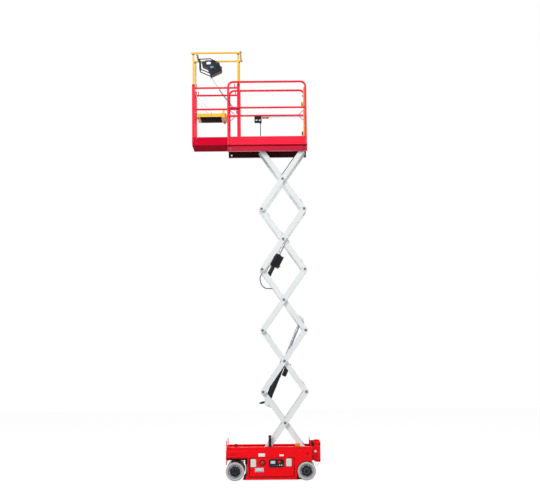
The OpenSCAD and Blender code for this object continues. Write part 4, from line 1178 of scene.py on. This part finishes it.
def dressBox(origin, half, face, bumps):
    place = drawing @ Matrix.Translation(origin)
    plates, dark, lip, screen, sky, cap, stop, collar = blanks(8)
    for side, s in sides:
        prism(plates, face, s * half, s * (half + 5), place, (8, -2))
        for x, z, reach in bumps:
            dome = [(0, 13), (reach * 0.5, 11.5), (reach * 0.85, 7), (reach, 1), (reach + 2, 0)]
            turned(dark, dome, aside(s, x, s * (half + 2), z, place))
        for x, z in ((84, -84), (352, -106), (224, -262), (386, -186)):
            bolt(dark, (x, s * (half + 2), z), (0, s, 0), 4, place)
    slab(screen, (140, -119.5, -98), (212, -112, -54), 1, place)
    slab(sky, (206, -119.5, -164), (262, -112, -136), 1, place)
    slab(plates, (112, -98, -52), (296, 98, -16), 8, place)
    spot = facing((88, -86, -58), (-1, -0.1, 0.16), place)
    turned(dark, [(34, 0), (33, 3), (27, 5), (29, 9), (21, 12), (23, 16), (14, 20), (9, 24), (9, 0)], spot, 32)
    rod(dark, (0, 0, 10), (0, 0, 40), 8, 1, place=spot)
    turned(collar, [(16, 6), (22, 8), (22, 18), (16, 20)], spot, 32)
    turned(cap, [(9, 26), (22, 28), (26, 34), (26, 46), (20, 52), (9, 55), (0, 55.5)], spot, 32)
    spot = facing((394, -46, -142), (0.905, 0, 0.425), place)
    turned(stop, [(0, 20), (12, 19), (19, 15), (21, 11), (18, 8), (11, 7), (10, 0)], spot, 32)
    turned(dark, [(11, 0), (12, 3), (22, 3), (24, 0)], spot, 32)
    edge = facing((314, 0, -246), (0.431, 0, -0.902), place)  # along the lower end of the shell
    slab(lip, (-112, -96, -6), (112, 96, 5), 3, edge)
    for side, s in sides:  # hand rests along the guard frame
        rod(dark, (20, s * 115, -30), (20, s * 115, -150), 10, 3, 20, place=place)
    slab(dark, (236, -60, -22), (288, 60, -12), 3, place)
    for x in (176, 214):
        turned(dark, [(0, 16), (9, 15), (12, 10), (12, 2), (15, 0)], facing((x, 46, -17), (-0.1, 0, 1), place), 28)
    dress(plates, "boxFaces", "roll_out_deck", slate)
    dress(dark, "boxControls", "roll_out_deck", soot)
    dress(lip, "boxLip", "roll_out_deck", oxblood)
    dress(screen, "boxScreen", "roll_out_deck", labelWhite)
    dress(sky, "boxPlate", "roll_out_deck", skyPlate)
    dress(cap, "stickCap", "roll_out_deck", cyanCap)
    dress(collar, "stickCollar", "roll_out_deck", yellow)
    dress(stop, "boxStop", "roll_out_deck", signalRed)


dressBox(**boxSet)
print("control box dressed")


# floor, world and lamps

stageSet = {"floor": 60, "floorTone": 0.9, "whiteShare": 0.8, "glow": 1.11, "bounce": 0.35, "sky": 0.5}
lampSet = [
    {"name": "keySoftbox", "place": (-7.5, -12.0, 10.5), "target": (0.2, 0, 3.4), "size": 7.0, "watts": 1430},
    {"name": "fillSoftbox", "place": (9.0, -12.5, 5.0), "target": (0.2, 0, 3.4), "size": 8.0, "watts": 480},
    {"name": "topSoftbox", "place": (1.0, 3.0, 14.0), "target": (0.2, 0, 3.4), "size": 6.0, "watts": 430},
]


def paleRays(wire):  # rays that should see a plain white background
    path = wire.tree.nodes.new("ShaderNodeLightPath")
    rays = [Wire(wire.tree, path.outputs[n]) for n in ("Is Camera Ray", "Is Glossy Ray", "Is Transmission Ray")]
    return (rays[0] + rays[1] + rays[2]).spread(0.0, 1.0)


def makeStage(s):
    mesh = bmesh.new()
    bmesh.ops.create_grid(mesh, x_segments=4, y_segments=4, size=s["floor"] / 2)
    data = bpy.data.meshes.new("studioFloor")
    mesh.to_mesh(data)
    mesh.free()
    addObject("studioFloor", data)
    material = bpy.data.materials.new("paleFloor")
    material.use_nodes = True
    tree = material.node_tree
    tree.nodes.clear()
    start = Wire(tree)
    seen = paleRays(start)
    diffuse = start.make("BsdfDiffuse", None, {"Color": (s["floorTone"],) * 3 + (1,)})
    dull = start.make("BsdfDiffuse", None, {"Color": (s["bounce"],) * 3 + (1,)})
    glow = start.make("Emission", None, {"Color": (1, 1, 1, 1), "Strength": s["glow"]})
    pale = start.make("MixShader", None, {0: s["whiteShare"], 1: diffuse, 2: glow})
    mixed = start.make("MixShader", None, {0: seen, 1: dull, 2: pale})
    tree.links.new(mixed.socket, tree.nodes.new("ShaderNodeOutputMaterial").inputs["Surface"])
    data.materials.append(material)

    world = bpy.data.worlds.new("studioWorld")
    world.use_nodes = True
    tree = world.node_tree
    tree.nodes.clear()
    start = Wire(tree)
    seen = paleRays(start)
    sky = start.make("Background", None, {"Color": (1, 1, 1, 1), "Strength": s["sky"]})
    back = start.make("Background", None, {"Color": (1, 1, 1, 1), "Strength": 1.0})
    both = start.make("MixShader", None, {0: seen, 1: sky, 2: back})
    tree.links.new(both.socket, tree.nodes.new("ShaderNodeOutputWorld").inputs["Surface"])
    bpy.context.scene.world = world


def makeLamp(name, place, target, size, watts):
    data = bpy.data.lights.new(name, "AREA")
    data.shape = "DISK"
    data.size = size
    data.energy = watts
    aim = Vector(target) - Vector(place)
    addObject(name, data).matrix_world = Matrix.Translation(place) @ aim.to_track_quat("-Z", "Y").to_matrix().to_4x4()


makeStage(stageSet)
for lampLine in lampSet:
    makeLamp(**lampLine)
bpy.context.scene.view_settings.view_transform = "Standard"
print("stage lit")
